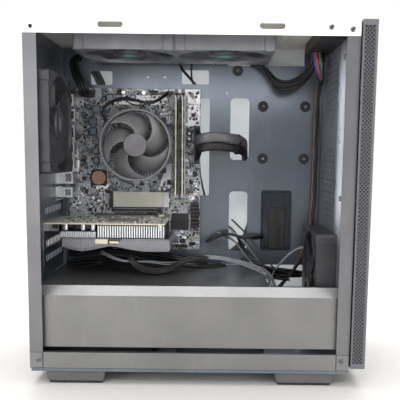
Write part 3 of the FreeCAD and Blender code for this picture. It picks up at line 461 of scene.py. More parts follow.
        for index in range(rows):
            y0, shift = low + index * tall, (index % 2) * wide / 2
            if shift:
                for x0 in (left, right - shift):
                    face(((x0, y0), (x0 + shift, y0), (x0 + shift, y0 + tall), (x0, y0 + tall)))
            for column in range(columns - index % 2):
                cx, cy = left + shift + (column + 0.5) * wide, y0 + tall / 2
                rim = [(cx + a * wide / 2, cy + b * tall / 2) for a, b in ((1, 0), (1, 1), (0, 1),
                    (-1, 1), (-1, 0), (-1, -1), (0, -1), (1, -1))]
                hole = circle(cx, cy, radius, 8)
                for i in range(8):
                    j = (i + 1) % 8
                    face((rim[i], rim[j], hole[j], hole[i]))
        lifted = bmesh.ops.extrude_face_region(self.bm, geom=faces)["geom"]
        bmesh.ops.translate(self.bm, vec=self.turn @ Vector((0, 0, top - base)),
            verts=[v for v in lifted if isinstance(v, bmesh.types.BMVert)])
        return self


def route(points, steps=8):
    """The points of a smooth NURBS spline through a lead's route."""
    data = bpy.data.curves.new("route", "CURVE")
    data.dimensions = "3D"
    spline = data.splines.new("NURBS")
    spline.points.add(len(points) - 1)
    for target, p in zip(spline.points, points):
        target.co = (*p, 1)
    spline.order_u = 3
    spline.use_endpoint_u = True
    spline.resolution_u = steps
    holder = bpy.data.objects.new("route", data)
    mesh = bpy.data.meshes.new_from_object(holder)
    found = [v.co.copy() for v in mesh.vertices]
    bpy.data.meshes.remove(mesh)
    bpy.data.objects.remove(holder)
    bpy.data.curves.remove(data)
    return found


def laid(path, spots, twist, breathe, seed):
    """Paths that run beside a path at (across, up) spots, twisting and parting a little."""
    draw = random.Random(seed)
    phases = [draw.uniform(0, tau) for _ in spots]
    tracks = [[] for _ in spots]
    side = START_SIDE
    far = 0.0
    for index, p in enumerate(path):
        ahead = heading(path, index)
        side = (side - ahead * side.dot(ahead)).normalized()
        other = ahead.cross(side)
        far += (p - path[max(index - 1, 0)]).length
        for track, (across, up), phase in zip(tracks, spots, phases):
            turn = twist * far + sin(far / 31 + phase) * breathe * 0.3
            swell = 1 + breathe * sin(far / 23 + phase)
            a = (across * cos(turn) - up * sin(turn)) * swell
            b = (across * sin(turn) + up * cos(turn)) * swell
            track.append(p + side * a + other * b)
    return tracks


def piece(name, form, look, stands_for=(), body="chassis", angle=32, bevel=0.0):
    """Turns a form into a named object that rides on a CAD body, the chassis unless it says so."""
    mesh = form.mesh(name)
    mesh.shade_smooth()
    mesh.set_sharp_from_angle(angle=radians(angle))
    mesh.materials.append(MATERIALS[look])
    made = bpy.data.objects.new(name, mesh)
    SCENE.collection.objects.link(made)
    if bevel:
        edge = made.modifiers.new("edge", "BEVEL")
        edge.width = bevel * MM
        edge.segments = 2
        edge.limit_method = "ANGLE"
        edge.angle_limit = radians(40)
    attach(made, body)
    if stands_for:
        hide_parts(*stands_for)
    return made


def bore(target, cutter):
    """Cuts a form's shape out of a piece, and keeps the result as its mesh."""
    mesh = cutter.mesh("cutter")
    tool = bpy.data.objects.new("cutter", mesh)
    SCENE.collection.objects.link(tool)
    carve = target.modifiers.new("bore", "BOOLEAN")
    carve.operation = "DIFFERENCE"
    carve.solver = "EXACT"
    carve.object = tool
    graph = bpy.context.evaluated_depsgraph_get()
    result = bpy.data.meshes.new_from_object(target.evaluated_get(graph), depsgraph=graph)
    target.modifiers.remove(carve)
    old, name = target.data, target.data.name
    target.data = result
    bpy.data.meshes.remove(old)
    result.name = name
    bpy.data.objects.remove(tool)
    bpy.data.meshes.remove(mesh)


# ----------------------------------------------------------- camera and light

# The backdrop is white. The room behind the camera is dimmer, most of all to the right and
# below, and shows only as reflections in the paint.
ROOM_LEFT, ROOM_RIGHT, ROOM_BELOW = 0.38, 0.09, 0.2
WORLD_STRENGTH = 1.02

CAMERA_SPOT = Vector((16.6, -867.3, 274.5))
PITCH, ROLL, YAW = 0.1263, 0.0113, 0.0018
FOCAL_LENGTH, SHIFT_X, SHIFT_Y = 58.93, -0.0335, 0.0965

camera = bpy.data.objects.new("camera", bpy.data.cameras.new("camera"))
camera.data.lens, camera.data.shift_x, camera.data.shift_y = FOCAL_LENGTH, SHIFT_X, SHIFT_Y
placing = Matrix.Translation(CAMERA_SPOT * MM)
for angle, axis in ((-YAW, "Z"), (-PITCH, "X"), (-ROLL, "Y"), (pi / 2, "X")):
    placing = placing @ Matrix.Rotation(angle, 4, axis)
camera.matrix_world = placing
SCENE.collection.objects.link(camera)
SCENE.camera = camera
SCENE.view_settings.view_transform = "Standard"
SCENE.view_settings.look = "None"

world = bpy.data.worlds.new("studio")
world.use_nodes = True
sky = world.node_tree
background = sky.nodes["Background"]
background.inputs["Strength"].default_value = WORLD_STRENGTH
toward = sky.nodes.new("ShaderNodeTexCoord")
parts = sky.nodes.new("ShaderNodeSeparateXYZ")
sky.links.new(toward.outputs["Generated"], parts.inputs["Vector"])


def sky_range(source, values):
    """The world's brightness between two values along one direction."""
    spread = sky.nodes.new("ShaderNodeMapRange")
    for key, value in zip(("From Min", "From Max", "To Min", "To Max"), values):
        spread.inputs[key].default_value = value
    sky.links.new(source, spread.inputs["Value"])
    return spread


def sky_sum(operation, first, second):
    """Two of the world's values worked into one."""
    result = sky.nodes.new("ShaderNodeMath")
    result.operation = operation
    sky.links.new(first, result.inputs[0])
    sky.links.new(second, result.inputs[1])
    return result


across = sky_range(parts.outputs["X"], (0.04, 0.15, ROOM_LEFT, ROOM_RIGHT))
upward = sky_range(parts.outputs["Z"], (-0.14, 0.04, ROOM_BELOW, 1.0))
room = sky_sum("MULTIPLY", across.outputs["Result"], upward.outputs["Result"])
backdrop = sky_range(parts.outputs["Y"], (-0.55, 0.1, 0.0, 1.0))
sky.links.new(room.outputs["Value"], backdrop.inputs["To Min"])
seen = sky.nodes.new("ShaderNodeLightPath")
lit = sky_sum("MAXIMUM", backdrop.outputs["Result"], seen.outputs["Is Camera Ray"])
sky.links.new(lit.outputs["Value"], background.inputs["Color"])
SCENE.world = world


def softbox(name, spot, aim, wide, tall, power, spread=180):
    """A soft lamp that faces a point, all in millimetres, and is not seen itself."""
    lamp = bpy.data.lights.new(name, "AREA")
    lamp.shape = "RECTANGLE"
    lamp.size, lamp.size_y, lamp.energy = wide * MM, tall * MM, power
    lamp.spread = radians(spread)
    holder = bpy.data.objects.new(name, lamp)
    holder.visible_camera = False
    holder.location = Vector(spot) * MM
    holder.rotation_euler = (Vector(aim) - Vector(spot)).to_track_quat("-Z", "Y").to_euler()
    SCENE.collection.objects.link(holder)


for lamp in (
        ("front_lamp", (-150, -1450, 1450), (0, 0, 240), 1200, 800, 18),
        ("window_lamp", (-340, -1500, 520), (-340, 0, 520), 980, 520, 0.9),
        ("left_fill", (-1250, -1350, 330), (0, 60, 290), 900, 800, 15),
        ("top_lamp", (0, 120, 1500), (0, 60, 300), 1500, 1300, 27),
        ("strip_lamp", (-262, -125, 288), (169, -79, 288), 14, 190, 0.14, 10),
        ("right_fill", (1250, -1350, 330), (-60, 60, 290), 900, 800, 15),
        ("back_lamp", (0, 1500, 1000), (0, 1480, 0), 2600, 900, 16),
        ("board_lamp", (10, -104, 380), (10, 70, 300), 280, 40, 0.07),
        ("cavity_lamp", (-10, 84, 240), (-10, 200, 240), 360, 330, 0.25)):
    softbox(*lamp)

floor = Form()
floor.loft([[(x, y, z) for x, y in circle(0, 0, 1700, 96)] for z in (-8, -0.05)])
floor_mesh = floor.mesh("studio_floor")
floor_paint = Finish("studio_paper", rough=0.6)
floor_paint.colour(floor_paint.ramp(floor_paint.noise(400), ((0.3, linear((198, 196, 193))),
    (0.7, linear((202, 200, 197))))))
floor_mesh.materials.append(floor_paint.material)
studio_floor = bpy.data.objects.new("studio_floor", floor_mesh)
SCENE.collection.objects.link(studio_floor)


# ----------------------------------------------------------------------- fans

HALF_PITCH = 52.5
SCREW_SPOTS = [(a * HALF_PITCH, b * HALF_PITCH) for a in (-1, 1) for b in (-1, 1)]
CORNERS = ((1, 1), (-1, 1), (-1, -1), (1, -1))


def blades(form, hub, tip, count, lead, trail, wide, sweep, thick):
    """Curved fan blades: each section runs from its leading height to its trailing one.

    wide is how many degrees a blade covers, and sweep how far its tip runs round.
    """
    steps = [i / 6 for i in range(7)]
    for number in range(count):
        start = tau * number / count
        loops = []
        for station in steps:
            radius = hub - 0.8 + (tip - hub + 0.8) * station
            first = start + radians(sweep) * station ** 1.25
            over, under = [], []
            for u in steps:
                angle = first + radians(wide) * (1 - 0.12 * station) * u
                height = lead + (trail - lead) * u ** 1.25
                half = thick * (0.28 + 0.5 * sin(pi * min(1, u + 0.08)) ** 0.7) * 0.7
                spot = (radius * cos(angle), radius * sin(angle))
                over.append((*spot, height + half))
                under.append((*spot, height - half))
            loops.append(over + under[::-1])
        form.loft(loops)
    return form


def case_fan(label, spot, axis, wheel):
    """A 25 mm case fan: a notched housing, corner pads, struts and a seven-blade wheel."""
    depth, half, inset, pad = 25, 60, 59.2, 47.0
    outline = []
    for a, b in CORNERS:
        near = [(half, pad - 0.8), (inset, pad), (inset, inset - 3), (inset - 3, inset),
            (pad, inset), (pad - 0.8, half)]
        corner = [(a * x, b * y) for x, y in near]
        outline += corner if a * b > 0 else corner[::-1]
    housing = Form(spot, axis).prism(outline, 0.2, depth - 0.2, 0.5)
    # Top fans take the lighter grey: painted light, as they are lit by reflection; front and rear
    # fans keep their own dark plastic.
    skin_painted_lit_on_top = "housing" if "top" in label else "dark"
    shell = piece(f"{label}_housing", housing, skin_painted_lit_on_top, [f"{label}_frame"], angle=35)
    holes = Form(spot, axis)
    holes.lathe([(58.3, -1), (57.5, 3), (57.5, depth - 3), (58.3, depth + 1)], sides=72)
    for x, y in SCREW_SPOTS:
        holes.lathe([(2.2, -1), (2.2, depth + 1)], x, y, 16)
    bore(shell, holes)
    pads = Form(spot, axis)
    for a, b in CORNERS:
        near = [(half, pad + 0.9), (half, half - 2.6), (half - 2.6, half), (pad + 0.9, half),
            (pad + 0.9, half - 1.6), (half - 4, half - 1.6), (half - 1.6, half - 4),
            (half - 1.6, pad + 0.9)]
        corner = [(a * x, b * y) for x, y in near]
        pads.prism(corner, 0, depth)
        for end in (0, depth - 1.1):
            pads.lathe([(3.2, end), (4.6, end), (4.6, end + 1.1), (3.2, end + 1.1)],
                a * HALF_PITCH, b * HALF_PITCH, 20, closed=True)
    piece(f"{label}_corner_pads", pads, skin_painted_lit_on_top, bevel=0.15)
    spider = Form(spot, axis)
    spider.lathe([(18.4, depth - 4), (19, depth - 3.4), (19, depth - 0.6), (18, depth)], sides=40)
    for number in range(4):
        angle = radians(20 + 90 * number)
        spider.spoke([(17 + 41.2 * i / 8, angle + 0.34 * (i / 8) ** 1.4, 2.1 - 0.5 * i / 8)
            for i in range(9)], ((-1, depth - 0.3), (-0.7, depth - 2.8), (0.7, depth - 2.8),
            (1, depth - 0.3)))
    piece(f"{label}_spider", spider, "dark", bevel=0.2)
    turning = Form(spot, axis)
    turning.lathe([(16.5, 1.3), (19, 1.9), (20, 3.4), (20, 19.0), (19, 20.4)], sides=48)
    blades(turning, 20, 53.2, 7, 3.4, 18.6, 47, 26, 1.7)
    piece(f"{label}_wheel", turning, "wheel", [f"{label}_rotor"], body=wheel)
    badge = Form(spot, axis)
    badge.lathe([(7.0, 1.05), (7.0, 1.45)], sides=6)
    badge.lathe([(9.4, 1.2), (9.4, 1.42)])
    piece(f"{label}_badge", badge, "teal" if "top" in label else "grey",
        body=wheel)


CASE_FANS = (("rear_fan", (-172.3, -42, 311), "-X"), ("top_rear_fan", (-91, -15, 397.2), "Z"),
    ("top_front_fan", (29, -15, 397.2), "Z"), ("front_fan", (168.9, -15, 119.5), "-X"))
for fan_label, fan_spot, fan_axis in CASE_FANS:
    case_fan(fan_label, fan_spot, fan_axis, f"{fan_label}_wheel")


# --------------------------------------------------------------------- cooler

COOLER_X, COOLER_Z = -86.7, 287.0
ring = Form((COOLER_X, 0, COOLER_Z), "Y")
ring.lathe([(45.2, 5.4), (46.2, 5.0), (47.3, 5.2), (47.7, 6.4), (47.4, 9.2), (46.9, 9.8),
    (46.9, 28), (47.6, 28.4), (47.6, 30.4), (45.4, 30.6), (44.6, 29.6), (44.6, 8.2)], sides=96,
    closed=True)
for number in range(4):
    turn = radians(45 + 90 * number)
    ring.spoke([(r, turn, 2) for r in (13, 30, 45.2)], ((-1, 28.2), (-1, 30.6), (1, 30.6),
        (1, 28.2)))
ring.lathe([(15, 26.8), (15, 30.6)])
piece("cooler_fan_ring", ring, "grey", ["cooler_shroud"])

wheel = Form((COOLER_X, 0, COOLER_Z), "Y")
blades(wheel, 15.5, 43.2, 5, 8.2, 23.5, 62, -52, 1.7)
piece("cooler_blades", wheel, "grey", ["cooler_rotor"], body="cooler_wheel")
cap = Form((COOLER_X, 0, COOLER_Z), "Y")
cap.lathe([(13.6, 5.7), (14.8, 6.0), (15.5, 7.0), (15.5, 24.6)], sides=56)
cap.lathe([(10.2, 5.6), (10.6, 5.75)], sides=40)
piece("cooler_hub", cap, "light_grey", body="cooler_wheel")

sink = Form((COOLER_X, 0, COOLER_Z), "Y")
sink.lathe([(14.2, 31.2), (15, 32), (15, 59.8)], sides=40)
for number in range(56):
    turn = tau * number / 56
    sink.spoke([(14.5 + 30 * i / 4, turn + 0.22 * (i / 4) ** 2, 0.32) for i in range(5)],
        ((-1, 31.4), (1, 31.4), (1, 57), (-1, 57)))
sink.block((-20, 20), (-20, 20), (57, 60), 0.6)
piece("cooler_fins", sink, "fin", ["cooler_heatsink"])

clips = Form((COOLER_X, 0, COOLER_Z), "-Y")
for a in (-1, 1):
    for b in (-1, 1):
        x, z = a * 34, b * 34
        clips.pad(x, z, 3.6, 3.6, (-57, -40), 0.9)
        clips.loft([[(a * (19 + 16 * t) - b * u * 2.2, b * (19 + 16 * t) + a * u * 2.2, h)
            for u, h in ((-1, -57), (1, -57), (1, -53), (-1, -53))] for t in (0, 1)])
piece("cooler_clips", clips, "black")


# ---------------------------------------------------------------- motherboard

BOARD_Y = 66.9
LEFT, RIGHT, LOW, HIGH = -192.0, -1.6, 140.2, 366.2


def on_board():
    """A form whose local x, y are X and Z, and whose z is the height over the board."""
    return Form((0, BOARD_Y, 0), "-Y")


KEEP_OUT = [(-137, 236, -36, 338), (-40, 210, -18, 366), (-152, 180, -52, 192),
    (-129, 198, -42, 225), (-152, 160, -122, 172), (-152, 141, -58, 152), (-192, 210, -174, 362),
    (-14, 258, 0, 318), (-170, 350, -140, 366), (-16, 170, 0, 208), (-44, 166, -16, 194)]


def scatter(count, seed, areas, keep_out):
    """Seeded places for small parts inside areas, clear of larger ones."""
    draw = random.Random(seed)
    found = []
    while len(found) < count:
        left, low, right, high = draw.choices(areas, [(a[2] - a[0]) * (a[3] - a[1])
            for a in areas])[0]
        x, z = draw.uniform(left, right), draw.uniform(low, high)
        spin, kind = draw.random() < 0.5, draw.random()
        if not any(l < x < r and b < z < t for l, b, r, t in keep_out):
            found.append((x, z, spin, kind))
    return found


def chip_parts(name, places, centre, axis, scale=1.0):
    """Resistors, ceramic capacitors and small chips, with their soldered ends."""
    bodies = {"chip": Form(centre, axis), "ceramic": Form(centre, axis)}
    joints = Form(centre, axis)
    for x, z, spin, kind in places:
        long, wide, tall = ((1.7, 0.9, 0.5), (2.2, 1.3, 0.9), (3.4, 2.6, 1.1),
            (1.2, 0.7, 0.5))[int(kind * 4) % 4]
        long, wide = long * scale, wide * scale
        a, b = (long, wide) if spin else (wide, long)
        look = "ceramic" if kind * 40 % 1 < 0.45 else "chip"
        bodies[look].pad(x, z, a / 2, b / 2, (0, tall), 0.12)
        for side in (-1, 1):
            if spin:
                joints.pad(x + side * a * 0.62, z, 0.35, b * 0.45, (0, tall * 0.7), 0.15)
            else:
                joints.pad(x, z + side * b * 0.62, a * 0.45, 0.35, (0, tall * 0.7), 0.15)
    for look, form in bodies.items():
        piece(f"{name}_{look}", form, look)
    piece(f"{name}_solder", joints, "solder")


chip_parts("board_parts", scatter(980, 11, [(LEFT + 3, LOW + 3, RIGHT - 3, HIGH - 3)], KEEP_OUT),
    (0, BOARD_Y, 0), "-Y")

cans = on_board()
for x, z, radius in ((-172.5, 358, 3.2), (-180, 358.8, 3.2), (-108.7, 360, 3.2),
        (-80.7, 359.7, 3.2), (-161.5, 303.5, 3.1), (-161.7, 285, 3.1), (-172.3, 296.3, 2.2),
        (-53.7, 346.4, 2.2), (-141.5, 219.6, 3.1), (-58.5, 226.9, 2.7), (-51.5, 227, 2.7),
        (-17, 304.4, 2.3), (-16.9, 297.2, 2.3), (-15.9, 341.8, 2.3), (-150, 206, 3.1),
        (-141, 204, 3.1), (-157, 214, 2.4)):
    cans.lathe([(radius + 0.1, 0.9), (radius, 1.6), (radius, 7.2), (radius - 0.5, 7.9)], x, z, 28)
    cans.lathe([(radius - 0.9, 7.7), (radius - 1.2, 8.0)], x, z, 28)
piece("board_cans", cans, "silver")
feet_of_cans = on_board()
for x, z in ((-172.5, 358), (-180, 358.8), (-108.7, 360), (-80.7, 359.7), (-161.5, 303.5),
        (-161.7, 285), (-141.5, 219.6), (-58.5, 226.9), (-51.5, 227), (-17, 304.4), (-16.9, 297.2),
        (-150, 206), (-141, 204)):
    feet_of_cans.pad(x, z, 2.9, 2.9, (0, 1.1), 0.7)
piece("board_can_feet", feet_of_cans, "black")

chokes = on_board()
for x, z, half in ((-147, 336.4, 5.4), (-158, 340, 3.4), (-152.2, 320, 5.2), (-161, 322, 3.4),
        (-152.2, 306, 5.2), (-128, 352.5, 4.8), (-116, 352.5, 4.8), (-96, 352.5, 4.4),
        (-165, 330, 3.2), (-148, 292, 4.2), (-148, 279, 4.2), (-148, 266, 4.2), (-165, 270, 3.0),
        (-165, 262, 3.0)):
    chokes.pad(x, z, half, half, (0.3, 6.6), 0.9)
    chokes.pad(x, z, half * 0.7, half * 0.7, (6.4, 6.9), 0.2)
piece("board_chokes", chokes, "inner", ["board_components"])

packages = on_board()
pins = on_board()
for x, z, a, b in ((-132, 222, 8, 5), (-166, 240, 6, 6), (-163, 222, 5, 7), (-30, 180, 24, 24),
        (-70, 176, 7, 7), (-96, 172, 9, 5), (-160, 178, 7, 7), (-44, 156, 6, 9), (-26, 152, 8, 6),
        (-172, 163, 6, 5), (-12, 330, 5, 5), (-9, 248, 6, 8), (-14, 236, 5, 6), (-158, 196, 5, 5),
        (-104, 196, 6, 3.5), (-84, 233, 6, 4), (-66, 236, 5, 4), (-46, 236, 5, 7),
        (-46, 216, 4, 6), (-164, 312, 4, 4)):
    packages.pad(x, z, a / 2, b / 2, (0.35, 1.9), 0.25)
    for side in (-1, 1):
        for step in range(int(a / 1.3)):
            px = x - a / 2 + 0.8 + step * 1.3
            pins.block((px - 0.3, px + 0.3), sorted((z + side * b / 2, z + side * (b / 2 + 0.9))),
                (0.05, 0.5), 0.05)
piece("board_packages", packages, "chip")
piece("board_package_pins", pins, "solder")

cell = on_board()
cell.lathe([(9.4, 2.9), (10, 3.3), (10, 4.6), (9.7, 4.9)], -145, 241.5, 40)
cell.lathe([(7.6, 4.8), (7.4, 5.0)], -145, 241.5, 40)
piece("board_cell", cell, "copper")
holder = on_board()
holder.prism(rounded(-156.2, 230.5, -133.8, 252.5, 3), 0, 2.9, 0.4)
holder.block((-157.6, -155.0), (238, 245), (2.6, 5.4))
piece("board_cell_holder", holder, "black")

# Printed areas: broad pale patches, thin lines and dots without any lettering.
print_marks = on_board()
draw = random.Random(5)
for left, low, right, high, count in ((-19.5, 312, -2.6, 365.4, 70), (-46, 352, -19, 365.6, 26),
        (-130, 362, -46, 365.8, 18), (-60, 318, -42, 352, 34), (-19, 208, -3, 256, 26),
        (-60, 143, -3, 170, 30), (-185, 195, -130, 236, 40), (-42, 240, -18, 352, 10)):
    for _ in range(count):
        x, z = draw.uniform(left, right - 3), draw.uniform(low, high - 3)
        a, b = draw.choice(((4.5, 3.2), (2.4, 1.6), (1.2, 6.0), (6.5, 1.0), (1.1, 1.1)))
        print_marks.block((x, min(x + a, right)), (z, min(z + b, high)), (0.02, 0.1), 0.02)
for patch in (((-19.5, 347), (-2.8, 340), (-2.8, 365.6), (-46, 365.6), (-44, 359), (-20, 357)),
        ((-19.5, 312.5), (-10, 316), (-2.8, 313), (-2.8, 339), (-12, 343), (-19.5, 345)),
        ((-190, 240), (-176, 244), (-172, 262), (-178, 300), (-190, 304)),
        ((-132, 344), (-60, 344), (-48, 352), (-52, 357), (-134, 357)), ((-60, 228), (-44, 228),
        (-42, 262), (-49, 262)), ((-150, 226), (-134, 226), (-130, 234), (-152, 229))):
    print_marks.prism(patch, 0.0, 0.07)
piece("board_print", print_marks, "print_white")

sockets = on_board()
sockets.block((-10.6, -2.6), (263.2, 314.8), (0, 7.2), 0.4)
for index in range(12):
    for column in (-8.7, -4.5):
        z = 265.5 + index * 4.27
        sockets.pad(column, z, 1.7, 1.75, (7, 11.9), 0.5)
sockets.block((-4.1, -1.9), (284, 294), (6, 12.4), 0.4)
sockets.block((-168, -149), (353, 362), (0, 11.9), 0.5)
for index in range(7):
    sockets.block((-14.4, -2.6), (172.5 + index * 5.2, 176.9 + index * 5.2), (0, 9.4), 0.4)
HEADERS = ((-72, 358, 10), (-118, 358, 10), (-57, 142.4, 18), (-37, 142.4, 18), (-80, 142.4, 18),
    (-103, 142.4, 18))
for x, z, wide in (*HEADERS, (-16, 146, 8)):
    sockets.block((x, x + wide), (z, z + 5), (0, 2.6))
    sockets.block((x, x + wide), (z + 4, z + 5), (2.4, 8), 0.25)
piece("board_plugs", sockets, "black", ["board_sockets"])
posts = on_board()
for x, z, wide in HEADERS:
    for step in range(int(wide / 2.5)):
        for row in ((0,) if wide == 10 else (0, 2.2)):
            px, pz = x + 1.4 + step * 2.5, z + 1.2 + row
            posts.pad(px, pz, 0.35, 0.35, (2.4, 8.6), 0.1)
piece("board_posts", posts, "gold")

MEMORY_X = (-34.6, -25.5)
slots = on_board()
for x in MEMORY_X:
    slots.loft([[(x + a, z, h) for a, h in ((-3, 0.4), (-3, 8.2), (-1.1, 8.9), (-0.8, 4), (0.8, 4),
        (1.1, 8.9), (3, 8.2), (3, 0.4))] for z in (214.8, 356.8)])
    slots.block((x - 3.4, x + 3.4), (214.4, 220), (0.4, 15), 0.6)
piece("memory_sockets", slots, "slot_grey", ["memory_slots"])
for number, x in enumerate(MEMORY_X, start=1):
    arm = on_board()
    arm.loft([[(x + a * 2.3, z, h) for a, z, h in ((-1, low, bottom), (1, low, bottom),
        (1, high, bottom), (-1, high, bottom))] for low, high, bottom in ((357.3, 360.6, 1.5),
        (357.3, 360.9, 10), (357.4, 361.4, 14), (358.4, 363.6, 17), (359.2, 363.8, 19.8))])
    piece(f"memory_lever_arm_{number}", arm, "grey", [f"memory_latch_{number}"],
        bevel=0.25, body=f"memory_lever_{number}")

sticks = on_board()
edges = on_board()
chips = on_board()
gold = on_board()
for x in MEMORY_X:
    sticks.block((x - 0.62, x + 0.62), (219.1, 352.5), (4.2, 31.2), 0.12)
    edges.block((x - 0.75, x + 0.75), (219.0, 352.6), (30.6, 31.4), 0.15)
    for row in range(8):
        z = 224 + row * 16 + (4 if row > 3 else 0)
        for side in (-1, 1):
            inside, outside = x + side * 0.6, x + side * 1.75
            chips.block(sorted((inside, outside)), (z, z + 10.5), (14, 27), 0.2)
    for step in range(60):
        z = 221 + step * 2.14
        if abs(z - 282) > 3:
            gold.block((x - 0.72, x + 0.72), (z, z + 1.3), (9, 12.4), 0.04)
piece("memory_boards", sticks, "dark", ["memory_modules"])
piece("memory_board_edges", edges, "cream")
piece("memory_chips", chips, "chip")
piece("memory_contacts", gold, "gold")

bars = on_board()
fingers = on_board()
for z, right in ((187, -61), (166.7, -125), (146.4, -61), (196.9, -56)):
    left = -150 if z != 196.9 else -125
    bars.loft([[(x, z + a, h) for a, h in ((-3.7, 0.3), (-3.5, 10.9), (-1.2, 11.2), (-1, 5),
        (1, 5), (1.2, 11.2), (3.5, 10.9), (3.7, 0.3))] for x in (left, right)])
    for step in range(int((right - left - 6) / 2)):
        x = left + 3 + step * 2
        for side in (-1, 1):
            fingers.block((x, x + 0.9), sorted((z + side * 1.25, z + side * 2.4)), (11.0, 11.35),
                0.05)
piece("card_slots", bars, "black", ["pcie_slots"])
piece("card_slot_contacts", fingers, "silver")
lever = on_board()
lever.loft([[(x, z, h) for z, h in ((183.8, bottom), (190.2, bottom), (190.2, top), (183.8, top))]
    for x, bottom, top in ((-60.2, 1.0, 8.3), (-57, 1.0, 8.3), (-56.6, 5.4, 8.3), (-53, 5.7, 8.2),
    (-52.2, 6.4, 7.8))])
piece("card_lever_arm", lever, "cream", ["pcie_latch"], bevel=0.2,
    body="card_lever")

piece("stick_board", on_board().block((-125, -45.2), (200.5, 222.3), (4.7, 5.5), 0.15),
    "card_board", ["m2_ssd"])
piece("stick_label", on_board().prism(rounded(-123.4, 200.9, -53.6, 221.9, 0.8), 5.4, 7.0, 0.15),
    "label")
end = on_board()
end.block((-53, -45.4), (200.9, 221.9), (5.4, 6.2), 0.2)
end.lathe([(3.1, 6.0), (3.1, 7.0), (2.6, 7.3)], -46.8, 211.4, 24)
piece("stick_end", end, "grey_label")
seat = on_board()
seat.block((-129, -124.6), (199.8, 223), (0.2, 6.9), 0.5)
seat.lathe([(2.6, 0.2), (2.6, 4.7)], -46.8, 211.4, 20)
piece("stick_seat", seat, "black")


# ----------------------------------------------------------- rear connectors

PORT_BLOCKS = ((348, 15.4, 17.6, "pair"), (328, 16.4, 8, "bar"), (304, 20, 12, "bar"),
    (282, 15.4, 17.6, "pair"), (262, 15.4, 17.6, "pair"), (242, 16.4, 30.5, "tall"),
    (222, 13, 34, "round"))
tongues = Form()
for z, wide, reach, kind in PORT_BLOCKS:
    spots = {"pair": (5.2, 13.4), "bar": (reach / 2,), "tall": (5.2, 13.4), "round": ()}[kind]
    for away in spots:
        tongues.block((-197.5, -187), (BOARD_Y - away - 0.9, BOARD_Y - away + 0.9),
            (z - wide / 2 + 2.6, z + wide / 2 - 2.6))
piece("port_tongues", tongues, "chip")
lips = Form()
for z, wide, reach, kind in PORT_BLOCKS:
    lips.block((-176.4, -175.2), (BOARD_Y - reach, BOARD_Y - 0.4), (z - wide / 2, z + wide / 2),
        0.4)
    lips.block((-186, -178), (BOARD_Y - reach - 0.35, BOARD_Y - reach + 0.1),
        (z - wide / 3, z + wide / 3), 0.15)
piece("port_lips", lips, "silver")


# -------------------------------------------------------------- graphics card

CARD_Z = 186.2
card_top = (0, 0, CARD_Z + 1.6)
chip_parts("card_parts", scatter(420, 23, [(-190, -42, -46, 50)], [(-118, -22, -88, 8),
    (-195, -45, -178, 50)]), card_top, "Z", scale=1.15)
# The card board's paleness is partly painted light.
base = Form((0, 0, CARD_Z))
base.prism([(-195.6, -45), (-43, -45), (-43, 52), (-63, 52), (-63, 60), (-147.5, 60), (-147.5, 52),
    (-195.6, 52)], 0.0, 1.6)
piece("card_board", base, "card_board", ["gpu_pcb"], bevel=0.12)
brim = Form()
brim.block((-195.4, -43.1), (-45.4, -44.7), (CARD_Z + 0.05, CARD_Z + 1.55), 0.1)
piece("card_board_edge", brim, "cream")
back = Form(card_top)
back.prism([(-121, -25), (-85, -25), (-85, 11), (-121, 11)], 0, 1.6, 0.4)
for a in (-1, 1):
    for b in (-1, 1):
        back.lathe([(3.2, 0), (3.2, 1.8), (2.6, 2.3)], -103 + a * 21, -7 + b * 21, 20)
        back.loft([[(-103 + a * t - u * b * 2.2, -7 + b * t + u * a * 2.2, h)
            for u, h in ((-1, 0.2), (1, 0.2), (1, 1.4), (-1, 1.4))] for t in (14, 20)])
piece("card_back_plate", back, "steel")
patches = Form(card_top)
draw = random.Random(31)
for _ in range(110):
    x, y = draw.uniform(-190, -50), draw.uniform(-42, 46)
    a, b = draw.choice(((5, 1.2), (2.4, 2.4), (1.2, 5), (9, 0.9), (3.4, 4.6)))
    patches.block((x, min(x + a, -44)), (y, min(y + b, 50)), (0.02, 0.14), 0.02)
piece("card_copper_patches", patches, "cream")

fins = Form()
for step in range(28):
    x = -128.6 + step * 3.06
    fins.block((x, x + 1.5), (-43.4, -38), (169.4, 184.6), 0.2)
for step in range(20):
    x = -175.5 + step * 2.25
    fins.block((x, x + 1.1), (-43.4, -38), (169.2, 176.6), 0.2)
piece("card_fins", fins, "tin", ["gpu_heatsink"])
# The core block behind the fins is dark: painted shade for the depth between the fins.
core = Form()
core.block((-130, -44.4), (-38.2, 47), (168.9, CARD_Z - 0.15))
core.block((-176, -130.6), (-38.2, 40), (168.9, 177.6))
piece("card_fin_core", core, "fin_core_painted_shade")
power_parts = Form()
for x, y in ((-170, -38), (-148, -38), (-135.5, -38), (-159, -20), (-140, -24), (-50, -38)):
    power_parts.lathe([(3.0, 178.4), (3.2, 179), (3.2, 185.2), (3.0, 186)], x, y, 24)
piece("card_cans", power_parts, "silver")
coils = Form()
for x, y in ((-184, -34), (-164, -30), (-154, -36), (-142.4, -37)):
    coils.pad(x, y, 3.2, 3.2, (180, 186), 0.6)
coils.block((-66.5, -60), (-42.9, -37), (170, 176.4), 0.5)
piece("card_coils", coils, "chip")

